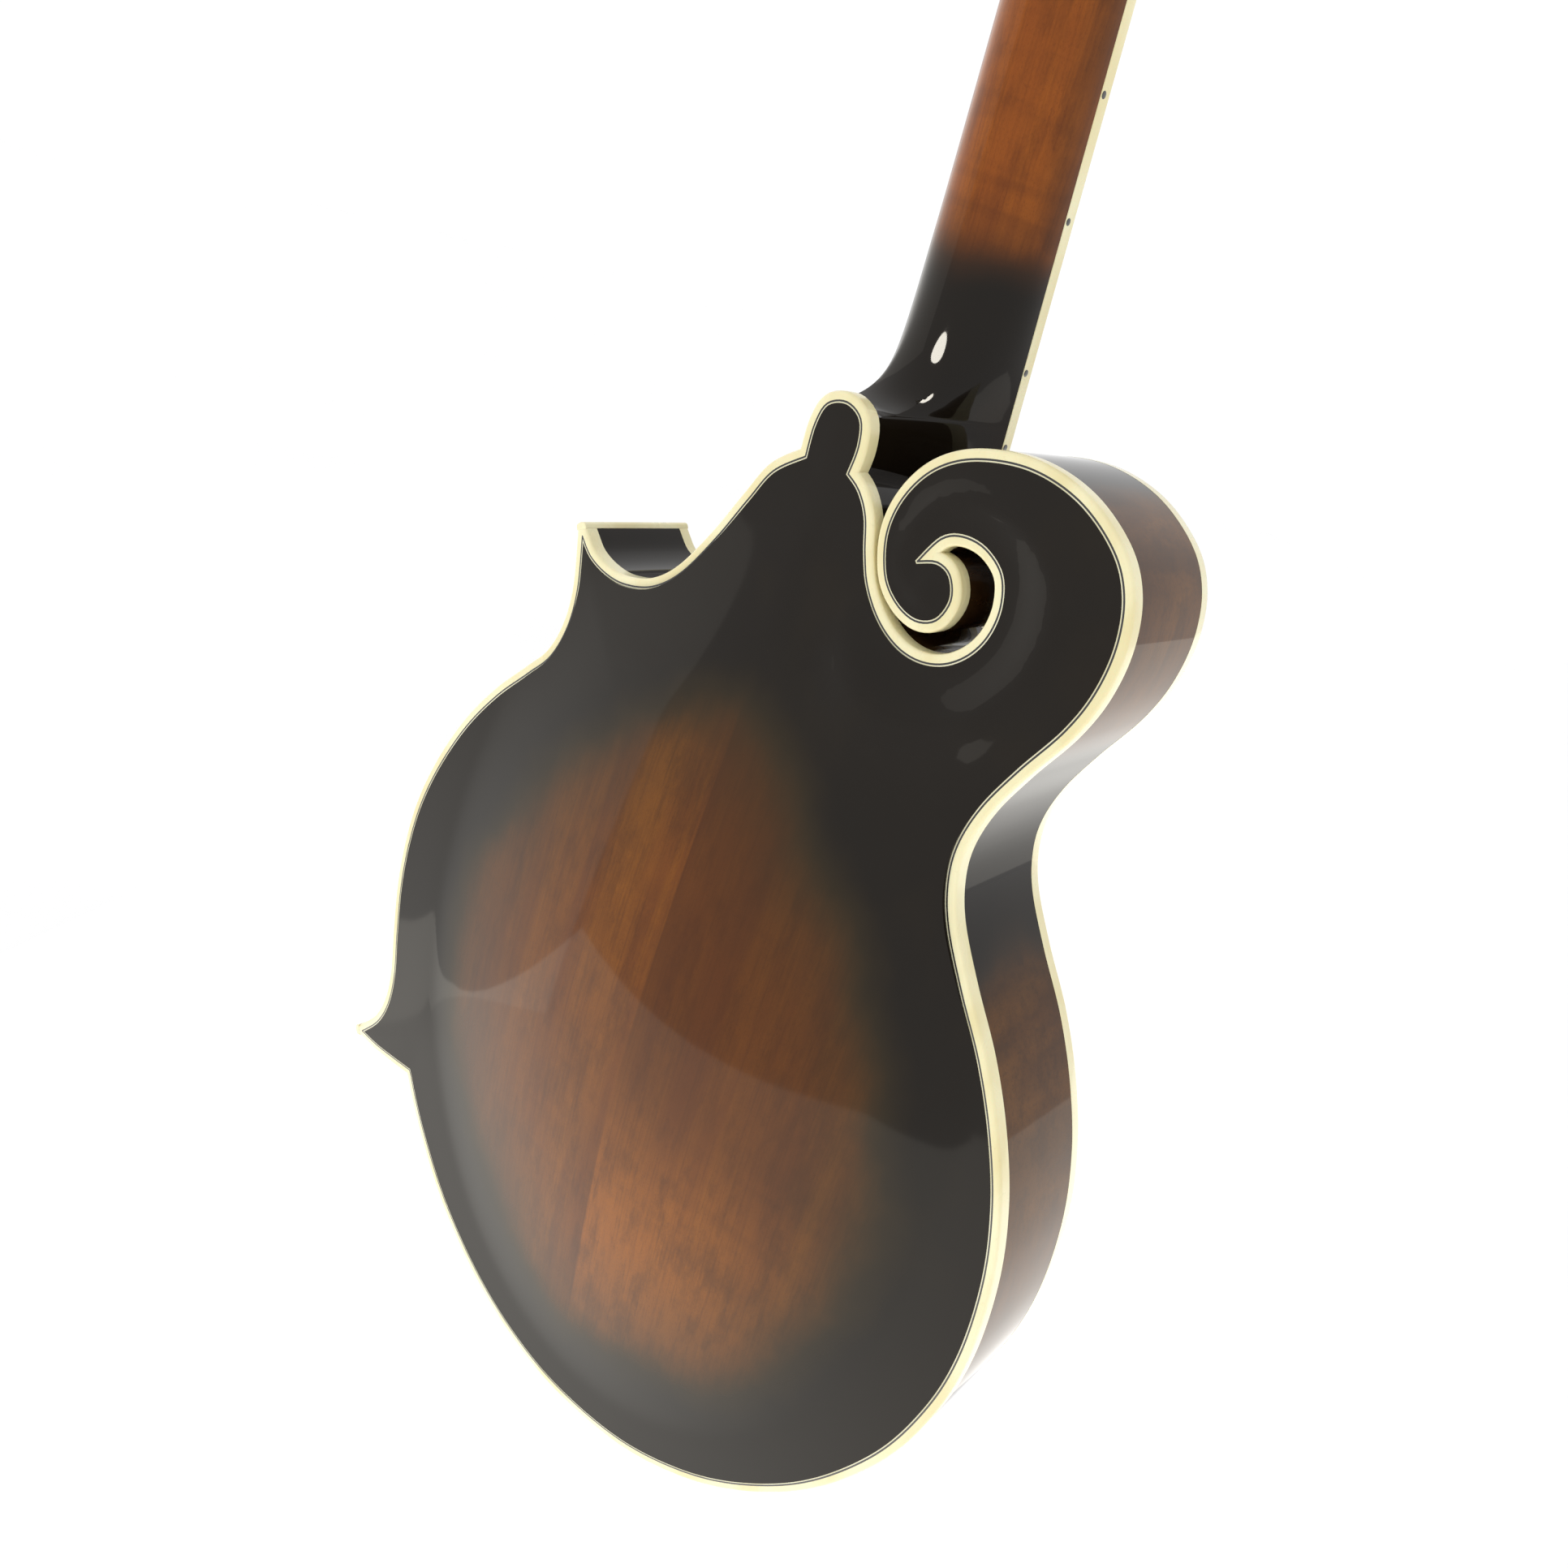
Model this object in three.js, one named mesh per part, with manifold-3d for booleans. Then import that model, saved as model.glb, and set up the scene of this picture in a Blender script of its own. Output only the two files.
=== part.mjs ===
// A scroll-bodied, carved-top mandolin, modelled piece by piece at its real size.
//
// Millimetres. +Z runs up the neck, the soundboard faces -Y and the carved back faces +Y.
// The body is drawn with its back edge in the plane y = 0 and its tail close to z = 0. At the
// end everything is moved so that the origin lies where a hanger carries the neck.

import * as THREE from 'three';
import { mergeVertices } from 'three/addons/utils/BufferGeometryUtils.js';
import Module from 'manifold-3d';

const wasm = await Module();
wasm.setup();

// ---------------------------------------------------------------- driving dimensions

const SCALE_LENGTH = 352.4;
const BODY_DEPTH = 42.8;
const GLUE_GAP = 0.3; // between pieces that are cut to each other or lie in a turned group
const SEAT_GAP = 0.05; // between flat faces that rest on each other

const BINDING_WIDTH = 2.5;
const BINDING_HEIGHT = 4.2;
const RIM_THICKNESS = 2.2;
const PLATE_THICKNESS = 4.2;
const BACK_ARCH = 13;
const TOP_ARCH = 12.5;

const FRET_AT_BODY = 15;
const JOINT_Z = 309.8; // the fret at the body joint
const BOARD_RISE = 13; // fingerboard face above the soundboard's edge, at the joint
const NECK_TILT = THREE.MathUtils.degToRad(-5);
const HEADSTOCK_TILT = THREE.MathUtils.degToRad(-15);
const BOARD_THICKNESS = 4.4;
const BOARD_OVERHANG = 78; // fingerboard past the body joint
const NUT_HALF_WIDTH = 14.3;
const BOARD_TAPER = 0.0243; // growth of the half width per millimetre below the nut
const BOARD_BINDING = 1.5;
const NUT_LENGTH = 6; // from the fingerboard's end to the headstock
const BUTTON_HALF_WIDTH = 7.4;
const ROD_START = 28;
const NECK_END = -14; // the neck's own wood ends here, measured from the joint
const ROD_RADIUS = 2.3;
const ROD_DEPTH = 12.5; // the rod's axis below the fingerboard's face

const OVERLAY_THICKNESS = 2.2;
const HEADSTOCK_THICKNESS = 12.3;
const HEADSTOCK_BINDING = 1.8;
const TUNER_PITCH = 23.4;
const FIRST_TUNER = 50;
const TUNER_X = 20;
const TUNER_COUNT = 4;
const TUNER_PLATE = 1.2;
const EAR_THICKNESS = 1.5;
const EAR_HALF_WIDTH = 2.6;
const POST_RADIUS = 3;
const POST_HEIGHT = 12;
const GEAR_RADIUS = 5.2;
const GEAR_THICKNESS = 3;
const WORM_RADIUS = 2.2;
const WORM_OFFSET = 8; // from the post's axis to the worm's axis, towards the nut
const SHAFT_RADIUS = 1.5;
const KNOB_START = 42;
const KNOB_LENGTH = 16;

const BRIDGE_Z = 160;
const SADDLE_HEIGHT = 7;
const STRING_ACTION = 2.6; // string above the fingerboard's plane at the bridge
const WHEEL_X = 36;
const WHEEL_RADIUS = 6.5;
const WHEEL_THICKNESS = 2.5;
const WHEEL_GAP = 0.4;
const BRIDGE_POST_RADIUS = 2;
const BRIDGE_HALF_LENGTH = 58;
const BRIDGE_WIDTH = 11;
const SADDLE_WIDTH = 6;
const SADDLE_TRAVEL_ROOM = 1.6;

const TAIL_Z = -1.3; // the plates' edge at the tail, with a little room for the tailpiece
const TAILPIECE_HALF_WIDTH = 17;
const COVER_HALF_WIDTH = 20;
const COVER_LENGTH = 54;
const SHEET_METAL = 1.5;
const END_PIN_Y = -24;
const END_PIN_RADIUS = 4;

const HANGER = new THREE.Vector3(0, -17, 519);

// ---------------------------------------------------------------- materials

function material(color, roughness, metalness = 0) {
  return new THREE.MeshStandardMaterial({ color, roughness, metalness });
}

const sunburst = material(0x3a2414, 0.2);
const spruce = material(0x5a3416, 0.25);
const darkWood = material(0x1b1512, 0.2);
const rawWood = material(0xc8a273, 0.7);
const ebony = material(0x15120f, 0.45);
const cream = material(0xe9e3bb, 0.35);
const bone = material(0xe8e2d0, 0.5);
const nickel = material(0xc9c7c0, 0.25, 1);
const brass = material(0xb08d4a, 0.35, 1);
const steel = material(0xb5b7ba, 0.3, 1);
const pearl = material(0xe6e2da, 0.3);

// ---------------------------------------------------------------- groups and helpers

const mandolin = new THREE.Group();
mandolin.name = 'mandolin';
mandolin.position.copy(HANGER).negate();

const neckGroup = new THREE.Group();
neckGroup.position.set(0, -(BODY_DEPTH + BOARD_RISE), JOINT_Z);
neckGroup.rotation.x = NECK_TILT;

const nutAt = fretDistance(0, FRET_AT_BODY);

const headGroup = new THREE.Group();
headGroup.position.set(0, 0, nutAt + NUT_LENGTH);
headGroup.rotation.x = HEADSTOCK_TILT;
neckGroup.add(headGroup);
mandolin.add(neckGroup);
neckGroup.updateMatrix();
headGroup.updateMatrix();

const neckMatrix = neckGroup.matrix.clone();
const headMatrix = neckMatrix.clone().multiply(headGroup.matrix);

function fretDistance(from, to) {
  return SCALE_LENGTH * (2 ** (-from / 12) - 2 ** (-to / 12));
}

function place(name, geometry, look, parent = mandolin) {
  const mesh = new THREE.Mesh(geometry, look);
  mesh.name = name;
  parent.add(mesh);
  return mesh;
}

function solidFrom(geometry) {
  const bare = geometry.clone();
  bare.deleteAttribute('normal');
  bare.deleteAttribute('uv');
  const merged = mergeVertices(bare, 1e-4);
  return new wasm.Manifold(new wasm.Mesh({
    numProp: 3,
    vertProperties: new Float32Array(merged.attributes.position.array),
    triVerts: new Uint32Array(merged.index.array),
  }));
}

function geometryFrom(solid) {
  const mesh = solid.getMesh();
  const geometry = new THREE.BufferGeometry();
  geometry.setAttribute('position', new THREE.BufferAttribute(mesh.vertProperties, 3));
  geometry.setIndex(new THREE.BufferAttribute(mesh.triVerts, 1));
  geometry.computeVertexNormals();
  return geometry;
}

function box(x0, x1, y0, y1, z0, z1) {
  const geometry = new THREE.BoxGeometry(x1 - x0, y1 - y0, z1 - z0);
  return geometry.translate((x0 + x1) / 2, (y0 + y1) / 2, (z0 + z1) / 2);
}

// An outline in x and z, extruded from y = backY towards the soundboard.
function slab(outline, backY, thickness, holes = []) {
  const shape = new THREE.Shape(outline);
  for (const hole of holes) shape.holes.push(new THREE.Path(hole));
  const geometry = new THREE.ExtrudeGeometry(shape, { depth: thickness, bevelEnabled: false });
  return geometry.rotateX(Math.PI / 2).translate(0, backY, 0);
}

function ringPoints(x, z, radius, count) {
  const points = [];
  for (let i = 0; i < count; i += 1) {
    const angle = (2 * Math.PI * i) / count;
    points.push(new THREE.Vector2(x + radius * Math.cos(angle), z + radius * Math.sin(angle)));
  }
  return points;
}

function mirrored(points) {
  return points.map((point) => new THREE.Vector2(-point.x, point.y)).reverse();
}

function points(...pairs) {
  return pairs.map(([x, z]) => new THREE.Vector2(x, z));
}

// ---------------------------------------------------------------- body outline

// The line where the plates meet their binding, as smooth stretches between sharp corners,
// running anticlockwise as seen in x and z: the scroll and the bass side down to the tail and
// up to the lower point, the lower point, the treble side, the cutaway, the button, the slot.
const bodyEdge = points(
  [-34.1, 318.9], [-39.4, 320.9], [-44, 319.4], [-46.5, 314], [-44.4, 307.8], [-38.7, 305.2],
  [-31.8, 307], [-26.2, 312.2], [-23, 322], [-24.6, 332], [-30.5, 341], [-40.4, 347.1],
  [-54.8, 350.1], [-69, 348], [-81, 341.3], [-87.5, 333], [-90.3, 322], [-89.7, 310],
  [-86.2, 298.5], [-79.2, 284.6], [-73.6, 271.5], [-71.2, 259.7], [-72.3, 249.5], [-76.8, 238.8],
  [-86.3, 225.6], [-98.1, 211], [-108.1, 195.1], [-116.3, 177.4], [-121.9, 157.1],
  [-124.2, 132.9], [-122, 110.3], [-114.6, 85], [-100.2, 58.3], [-82.5, 37.2], [-61.8, 20.1],
  [-36, 7], [-9, 1.3], [16, 1.8], [43, 9.5], [69.2, 25], [90, 45.2], [102.8, 62.2],
);
const lowerPoint = points([102.8, 62.2], [113, 60.6], [123, 59.3], [132.5, 59.2]);
const trebleSide = points(
  [132.5, 59.2], [125, 69], [121.3, 80], [121.2, 93], [124.2, 109], [127, 128], [127.2, 146],
  [125, 163], [119.5, 181], [110.7, 200], [99.8, 216.5], [88.4, 229.8], [80.4, 239.6],
  [76.2, 251.3], [75.7, 264], [78.7, 279.5],
);
const cutaway = points(
  [78.7, 279.5], [73.5, 275.3], [65.7, 273.1], [57.2, 273.4], [47, 277.2], [38, 285.3],
  [29.2, 299.1], [22, 313], [16.5, 322.9], [7.7, 330.1],
);
const button = points(
  [7.7, 330.1], [7.8, 338.5], [5.8, 344.6], [0, 346.9], [-5.5, 344.4], [-7.3, 338],
  [-6.7, 330.8],
);
const slotSide = points(
  [-6.7, 330.8], [-11.3, 328.2], [-15.5, 323], [-18.7, 314.6], [-22.4, 307.4], [-28.6, 301],
  [-36, 297.2], [-43.5, 296.6], [-50.5, 299], [-56, 304], [-59.2, 310.5], [-59.7, 318],
  [-57, 325], [-50.7, 328.9], [-43.8, 329.2], [-38.4, 326.4], [-34.1, 318.9],
);
const noButton = points([7.7, 330.1], [-6.7, 330.8]);

function backStretches() {
  return [bodyEdge, lowerPoint, trebleSide, cutaway, button, slotSide];
}

function frontStretches() {
  return [bodyEdge, lowerPoint, trebleSide, cutaway, noButton, slotSide];
}

function direction(from, to) {
  return to.clone().sub(from).normalize();
}

// A stretch moved sideways, away from the inside of the body.
function moved(stretch, distance) {
  return stretch.map((point, i) => {
    const before = direction(stretch[Math.max(i - 1, 0)], stretch[Math.max(i, 1)]);
    const last = stretch.length - 1;
    const after = direction(stretch[Math.min(i, last - 1)], stretch[Math.min(i + 1, last)]);
    const along = before.add(after).normalize();
    return new THREE.Vector2(point.x + distance * along.y, point.y - distance * along.x);
  });
}

function crossing(a, b, c, d) {
  const ab = b.clone().sub(a);
  const cd = d.clone().sub(c);
  const bottom = ab.cross(cd);
  if (Math.abs(bottom) < 1e-9) return null;
  const ac = c.clone().sub(a);
  const s = ac.cross(cd) / bottom;
  const t = ac.cross(ab) / bottom;
  if (s < 0 || s > 1 || t < 0 || t > 1) return null;
  return ab.multiplyScalar(s).add(a);
}

// Two moved stretches that overlap past a corner are cut where they cross.
function trimmed(first, second) {
  const firstMiddle = Math.floor((first.length - 2) / 2);
  const secondMiddle = Math.floor((second.length - 2) / 2);
  for (let i = first.length - 2; i >= firstMiddle; i -= 1) {
    for (let j = 0; j <= secondMiddle; j += 1) {
      const meeting = crossing(first[i], first[i + 1], second[j], second[j + 1]);
      if (meeting) return [[...first.slice(0, i + 1), meeting], [meeting, ...second.slice(j + 1)]];
    }
  }
  return null;
}

// Two moved stretches that part at a corner get a mitre, or a square end on a sharp point.
function joined(first, second, distance) {
  const ahead = direction(first[first.length - 2], first[first.length - 1]);
  const behind = direction(second[1], second[0]);
  const turn = Math.acos(THREE.MathUtils.clamp(-ahead.dot(behind), -1, 1));
  const sharp = turn > Math.PI / 2;
  const reach = Math.abs(distance) * Math.tan(sharp ? turn / 4 : turn / 2);
  const end = ahead.multiplyScalar(reach).add(first[first.length - 1]);
  const start = behind.multiplyScalar(reach).add(second[0]);
  return sharp ? [[...first, end], [start, ...second]] : [[...first, end], second];
}

// The closed outline at a distance outside the plates' edge, or inside it when negative.
function outline(stretches, distance) {
  const pieces = stretches.map((stretch) => moved(stretch, distance));
  for (let i = 0; i < pieces.length; i += 1) {
    const next = (i + 1) % pieces.length;
    const cut = trimmed(pieces[i], pieces[next]);
    [pieces[i], pieces[next]] = cut ?? joined(pieces[i], pieces[next], distance);
  }
  const closed = [];
  for (const point of pieces.flat()) {
    if (!closed.length || closed[closed.length - 1].distanceTo(point) > 0.05) closed.push(point);
  }
  if (closed[0].distanceTo(closed[closed.length - 1]) < 0.05) closed.pop();
  return closed;
}

// ---------------------------------------------------------------- carved plates

// Height of the carved arch above the plate's edge, as a share of its full height.
function archShare(x, z) {
  const centre = 150;
  const reach = z > centre ? 165 : 138;
  const share = 1 - (x / 106) ** 2 - ((z - centre) / reach) ** 2;
  return share > 0 ? share ** 1.5 : 0;
}

function backArch(x, z) {
  return BACK_ARCH * archShare(x, z);
}

function topArch(x, z) {
  return TOP_ARCH * archShare(x, z);
}

// A sheet of even thickness over a rectangle larger than the body, whose outer face follows the
// arch: facing is 1 for the back and -1 for the soundboard.
function archedSheet(height, facing) {
  const sheet = new THREE.BoxGeometry(276, 372, PLATE_THICKNESS, 12, 16, 1);
  const middle = facing > 0 ? -PLATE_THICKNESS / 2 : -BODY_DEPTH + PLATE_THICKNESS / 2;
  sheet.rotateX(Math.PI / 2).translate(0, middle, 175);
  const position = sheet.attributes.position;
  for (let i = 0; i < position.count; i += 1) {
    position.setY(i, position.getY(i) + facing * height(position.getX(i), position.getZ(i)));
  }
  return sheet;
}

// One f-shaped sound hole: a round eye at each end and the slit between them.
function soundHole(side) {
  const upper = ringPoints(44, 203, 4.2, 12);
  const lower = ringPoints(70, 127, 5.4, 12);
  const middle = points([46, 200], [56, 216], [58, 114], [68, 130]);
  const slit = new THREE.CubicBezierCurve(...middle).getPoints(12);
  const band = [...moved(slit, 2), ...moved(slit, -2).reverse()];
  return [upper, lower, band].map((hole) => (side > 0 ? hole : mirrored(hole)));
}

function makeBackPlate() {
  const sheet = solidFrom(archedSheet(backArch, 1));
  const cutter = solidFrom(slab(outline(backStretches(), -GLUE_GAP), 20, 40));
  place('back_plate', geometryFrom(sheet.intersect(cutter)), sunburst);
}

function makeSoundboard() {
  const sheet = solidFrom(archedSheet(topArch, -1));
  const cutter = solidFrom(slab(outline(frontStretches(), -GLUE_GAP), -20, 50));
  let solid = sheet.intersect(cutter);
  for (const side of [-1, 1]) {
    for (const hole of soundHole(side)) solid = solid.subtract(solidFrom(slab(hole, -20, 50)));
  }
  place('soundboard', geometryFrom(solid), spruce);
}

// ---------------------------------------------------------------- rim, bindings, blocks

function endPinHole() {
  const radius = END_PIN_RADIUS + GLUE_GAP;
  const hole = new THREE.CylinderGeometry(radius, radius, 40, 16);
  return solidFrom(hole.rotateX(Math.PI / 2).translate(0, END_PIN_Y, 8));
}

function makeRim() {
  const outer = outline(frontStretches(), BINDING_WIDTH);
  const inner = outline(frontStretches(), BINDING_WIDTH - RIM_THICKNESS);
  const backY = -BINDING_HEIGHT - SEAT_GAP;
  const ring = slab(outer, backY, BODY_DEPTH + 2 * backY, [inner]);
  place('rim_sides', geometryFrom(solidFrom(ring).subtract(endPinHole())), darkWood);
}

function makeBindings() {
  const back = [outline(backStretches(), BINDING_WIDTH), outline(backStretches(), 0)];
  const front = [outline(frontStretches(), BINDING_WIDTH), outline(frontStretches(), 0)];
  place('back_binding', slab(back[0], 0, BINDING_HEIGHT, [back[1]]), cream);
  const frontY = BINDING_HEIGHT - BODY_DEPTH;
  place('top_binding', slab(front[0], frontY, BINDING_HEIGHT, [front[1]]), cream);
}

// A flat cream strip that closes a sharp point from the back edge to the front edge.
function makePointProtector(name, before, corner, after) {
  const width = 4;
  const thickness = 1.6;
  const away = direction(before, corner).add(direction(after, corner)).normalize();
  const strip = box(-width / 2, width / 2, -BODY_DEPTH, 0, 0, thickness);
  strip.rotateY(Math.atan2(away.x, away.y));
  const offset = BINDING_WIDTH + GLUE_GAP;
  strip.translate(corner.x + offset * away.x, 0, corner.y + offset * away.y);
  place(name, strip, cream);
}

function makePointProtectors() {
  makePointProtector('upper_point_protector', trebleSide.at(-2), trebleSide.at(-1), cutaway[1]);
  const tip = lowerPoint.at(-1);
  makePointProtector('lower_point_protector', lowerPoint.at(-2), tip, trebleSide[1]);
}

function makeBlocks() {
  const backY = -PLATE_THICKNESS - GLUE_GAP;
  const depth = BODY_DEPTH - 2 * (PLATE_THICKNESS + GLUE_GAP);
  const inside = solidFrom(slab(outline(frontStretches(), -GLUE_GAP), backY, depth));
  const head = solidFrom(box(-100, 30, -BODY_DEPTH, 0, 282, 360));
  place('head_block', geometryFrom(inside.intersect(head)), rawWood);
  const tail = solidFrom(box(-26, 26, -BODY_DEPTH, 0, -5, 26));
  place('tail_block', geometryFrom(inside.intersect(tail).subtract(endPinHole())), rawWood);
}

// A strip glued inside the rim along part of one side, where it carries a plate.
const LINING_HEIGHT = 7;
const LINING_WIDTH = 4;

function lining(stretch, backY) {
  const outer = moved(stretch, -GLUE_GAP);
  const inner = moved(stretch, -GLUE_GAP - LINING_WIDTH);
  return slab([...outer, ...inner.reverse()], backY, LINING_HEIGHT);
}

function makeLinings() {
  const bass = bodyEdge.filter((point) => point.x < -30 && point.y < 275);
  const treble = trebleSide.filter((point) => point.y > 90 && point.y < 262);
  const backY = -PLATE_THICKNESS - GLUE_GAP;
  const frontY = -BODY_DEPTH + PLATE_THICKNESS + GLUE_GAP + LINING_HEIGHT;
  place('back_lining_bass', lining(bass, backY), rawWood);
  place('back_lining_treble', lining(treble, backY), rawWood);
  place('top_lining_bass', lining(bass, frontY), rawWood);
  place('top_lining_treble', lining(treble, frontY), rawWood);
}

// A long brace under the soundboard whose glued edge follows the arch.
function makeToneBar(name, x) {
  const width = 6;
  const steps = 8;
  const from = 95;
  const to = 250;
  const glued = [];
  for (let i = 0; i <= steps; i += 1) {
    const z = from + ((to - from) * i) / steps;
    const inside = -BODY_DEPTH - topArch(Math.abs(x) + width / 2, z) + PLATE_THICKNESS;
    glued.push(new THREE.Vector2(z, inside + 0.8));
  }
  const tall = new THREE.Vector2((from + to) / 2, glued[steps / 2].y + 9);
  const upper = new THREE.Vector2(to, glued[steps].y + 3);
  const lower = new THREE.Vector2(from, glued[0].y + 3);
  const strip = bar([...glued, upper, tall, lower], 0, width);
  place(name, strip.rotateY(-Math.PI / 2).translate(x + width / 2, 0, 0), rawWood);
}

// ---------------------------------------------------------------- neck

function boardHalfWidth(along) {
  return NUT_HALF_WIDTH + BOARD_TAPER * (nutAt - along);
}

// One cross-section of the neck: x across, y down from the fingerboard's face, in the neck's frame.
// heel runs from 0 on the playing length to 1 at the button.
function neckSection(along, depth, heel) {
  const count = 14;
  const half = boardHalfWidth(along);
  const top = BOARD_THICKNESS + GLUE_GAP;
  const section = [];
  for (let i = 0; i <= count; i += 1) {
    const angle = (Math.PI * i) / count;
    const down = Math.min(1, Math.sin(angle) / Math.sin((Math.PI * 5) / count));
    const narrow = BUTTON_HALF_WIDTH + (half - BUTTON_HALF_WIDTH) * (1 - down) ** 1.6;
    const side = i * 2 === count ? 0 : Math.sign(count - i * 2);
    const heelX = side * narrow;
    const x = THREE.MathUtils.lerp(half * Math.cos(angle), heelX, heel);
    const y = THREE.MathUtils.lerp(Math.sin(angle), down, heel) * depth;
    section.push(new THREE.Vector3(x, top + y, along));
  }
  return section;
}

// A closed skin over cross-sections that all have the same number of points.
function skin(sections) {
  const count = sections[0].length;
  const position = sections.flat().flatMap((point) => [point.x, point.y, point.z]);
  const index = [];
  for (let i = 0; i < sections.length - 1; i += 1) {
    for (let j = 0; j < count; j += 1) {
      const a = i * count + j;
      const b = i * count + ((j + 1) % count);
      index.push(a, b, a + count, b, b + count, a + count);
    }
  }
  for (const [ring, outward] of [[0, false], [sections.length - 1, true]]) {
    const centre = new THREE.Vector3();
    for (const point of sections[ring]) centre.addScaledVector(point, 1 / count);
    const hub = position.length / 3;
    position.push(centre.x, centre.y, centre.z);
    for (let j = 0; j < count; j += 1) {
      const a = ring * count + j;
      const b = ring * count + ((j + 1) % count);
      index.push(...(outward ? [a, b, hub] : [b, a, hub]));
    }
  }
  const geometry = new THREE.BufferGeometry();
  geometry.setAttribute('position', new THREE.Float32BufferAttribute(position, 3));
  geometry.setIndex(index);
  return geometry;
}

// How deep the neck's wood is below the fingerboard, and how far it has become the heel.
const NECK_PROFILE = [
  // [distance from the joint, depth, heel share]
  [nutAt + NUT_LENGTH, 15.8, 0], [150, 16.6, 0], [100, 17.6, 0], [80, 18.4, 0], [66, 19.6, 0.04],
  [56, 21.8, 0.15], [49, 25.2, 0.35], [44, 30.1, 0.6], [41, 37.1, 0.85], [39.2, 46.6, 1],
  [10, 46.6, 1], [NECK_END, 46.6, 1],
];

function makeNeck() {
  const sections = NECK_PROFILE.map(([along, depth, heel]) => neckSection(along, depth, heel));
  const shaft = skin(sections.reverse()).applyMatrix4(neckMatrix);
  const slabFront = OVERLAY_THICKNESS + GLUE_GAP;
  const head = headstockSlab(slabFront, HEADSTOCK_THICKNESS, 0).applyMatrix4(headMatrix);
  const channel = box(-3, 3, 0, ROD_DEPTH + 3.5, ROD_START - 2, nutAt + 14);
  const cuts = [
    slab(outline(frontStretches(), BINDING_WIDTH + GLUE_GAP), 10, BODY_DEPTH + 12),
    box(-60, 60, -BINDING_HEIGHT - GLUE_GAP, 20, 300, 360),
    channel.applyMatrix4(neckMatrix),
  ];
  let neck = solidFrom(shaft).add(solidFrom(head));
  for (const cut of cuts) neck = neck.subtract(solidFrom(cut));
  place('neck', geometryFrom(neck), darkWood);
}

function makeTrussRod() {
  const length = nutAt + 8 - ROD_START;
  const rod = new THREE.CylinderGeometry(ROD_RADIUS, ROD_RADIUS, length, 10);
  rod.rotateX(Math.PI / 2).translate(0, ROD_DEPTH, ROD_START + length / 2);
  place('truss_rod', rod, steel, neckGroup);
}

function makeFingerboard() {
  const end = -BOARD_OVERHANG;
  const start = nutAt - 0.2;
  const inset = BOARD_BINDING + SEAT_GAP;
  const wide = boardHalfWidth(end);
  const narrow = boardHalfWidth(nutAt);
  const board = points(
    [narrow - inset, start], [-narrow + inset, start],
    [-wide + inset, end + inset], [wide - inset, end + inset],
  );
  place('fingerboard', slab(board, BOARD_THICKNESS, BOARD_THICKNESS), ebony, neckGroup);
  const rim = points(
    [narrow, start], [narrow - BOARD_BINDING, start],
    [wide - BOARD_BINDING, end + BOARD_BINDING], [-wide + BOARD_BINDING, end + BOARD_BINDING],
    [-narrow + BOARD_BINDING, start], [-narrow, start], [-wide, end], [wide, end],
  );
  place('fingerboard_binding', slab(rim, BOARD_THICKNESS, BOARD_THICKNESS), cream, neckGroup);
  const nut = box(-narrow, narrow, -1.6, BOARD_THICKNESS, nutAt + 0.1, nutAt + NUT_LENGTH - 2);
  place('nut', nut, bone, neckGroup);
}

// ---------------------------------------------------------------- headstock and tuners

// The right half and the left half differ at the top, where a scroll leans over the bass side.
const headOutline = points(
  [14.3, 0], [17, 12], [29, 22], [41, 27], [43.5, 34], [36.5, 42], [32.5, 56], [31, 78],
  [32, 100], [36, 120], [44, 132], [50, 139], [43, 146], [30, 147], [20, 150], [13, 158],
  [7, 166], [-4, 171], [-14, 167], [-17, 158], [-24, 152], [-33, 154], [-43, 151], [-48, 142],
  [-44, 132], [-37, 122], [-32, 104], [-31, 80], [-32.5, 56], [-36.5, 42], [-43.5, 34],
  [-41, 27], [-29, 22], [-17, 12], [-14.3, 0],
);

function headstockLine(distance) {
  const foot = points([-14.3, 0], [14.3, 0]);
  return outline([headOutline, foot], distance);
}

function tunerPlaces() {
  const places = [];
  for (const side of [-1, 1]) {
    for (let i = 0; i < TUNER_COUNT; i += 1) {
      places.push({ side, number: i + 1, x: side * TUNER_X, z: FIRST_TUNER + TUNER_PITCH * i });
    }
  }
  return places;
}

function headstockSlab(frontY, thickness, distance) {
  const radius = POST_RADIUS + GLUE_GAP;
  const holes = tunerPlaces().map(({ x, z }) => ringPoints(x, z, radius, 8).reverse());
  return slab(headstockLine(distance), frontY + thickness, thickness, holes);
}

function makeHeadstockTrim() {
  const overlay = headstockSlab(0, OVERLAY_THICKNESS, -HEADSTOCK_BINDING - SEAT_GAP);
  place('headstock_overlay', overlay, ebony, headGroup);
  const inner = headstockLine(-HEADSTOCK_BINDING);
  const edge = slab(headstockLine(0), OVERLAY_THICKNESS, OVERLAY_THICKNESS, [inner]);
  place('headstock_binding', edge, cream, headGroup);
  const cover = points([-7, 10], [7, 10], [8, 18], [5, 30], [0, 36], [-5, 30], [-8, 18]);
  place('truss_rod_cover', slab(cover, -GLUE_GAP, 1.2), ebony, headGroup);
}

const PLATE_Y = OVERLAY_THICKNESS + GLUE_GAP + HEADSTOCK_THICKNESS + GLUE_GAP;
const WORM_Y = PLATE_Y + TUNER_PLATE + GLUE_GAP + WORM_RADIUS;
const GEAR_Y = WORM_Y - GEAR_THICKNESS / 2;

// A box whose x runs between two distances on one side of the middle.
function sideBox(side, x0, x1, y0, y1, z0, z1) {
  return box(Math.min(side * x0, side * x1), Math.max(side * x0, side * x1), y0, y1, z0, z1);
}

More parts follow.
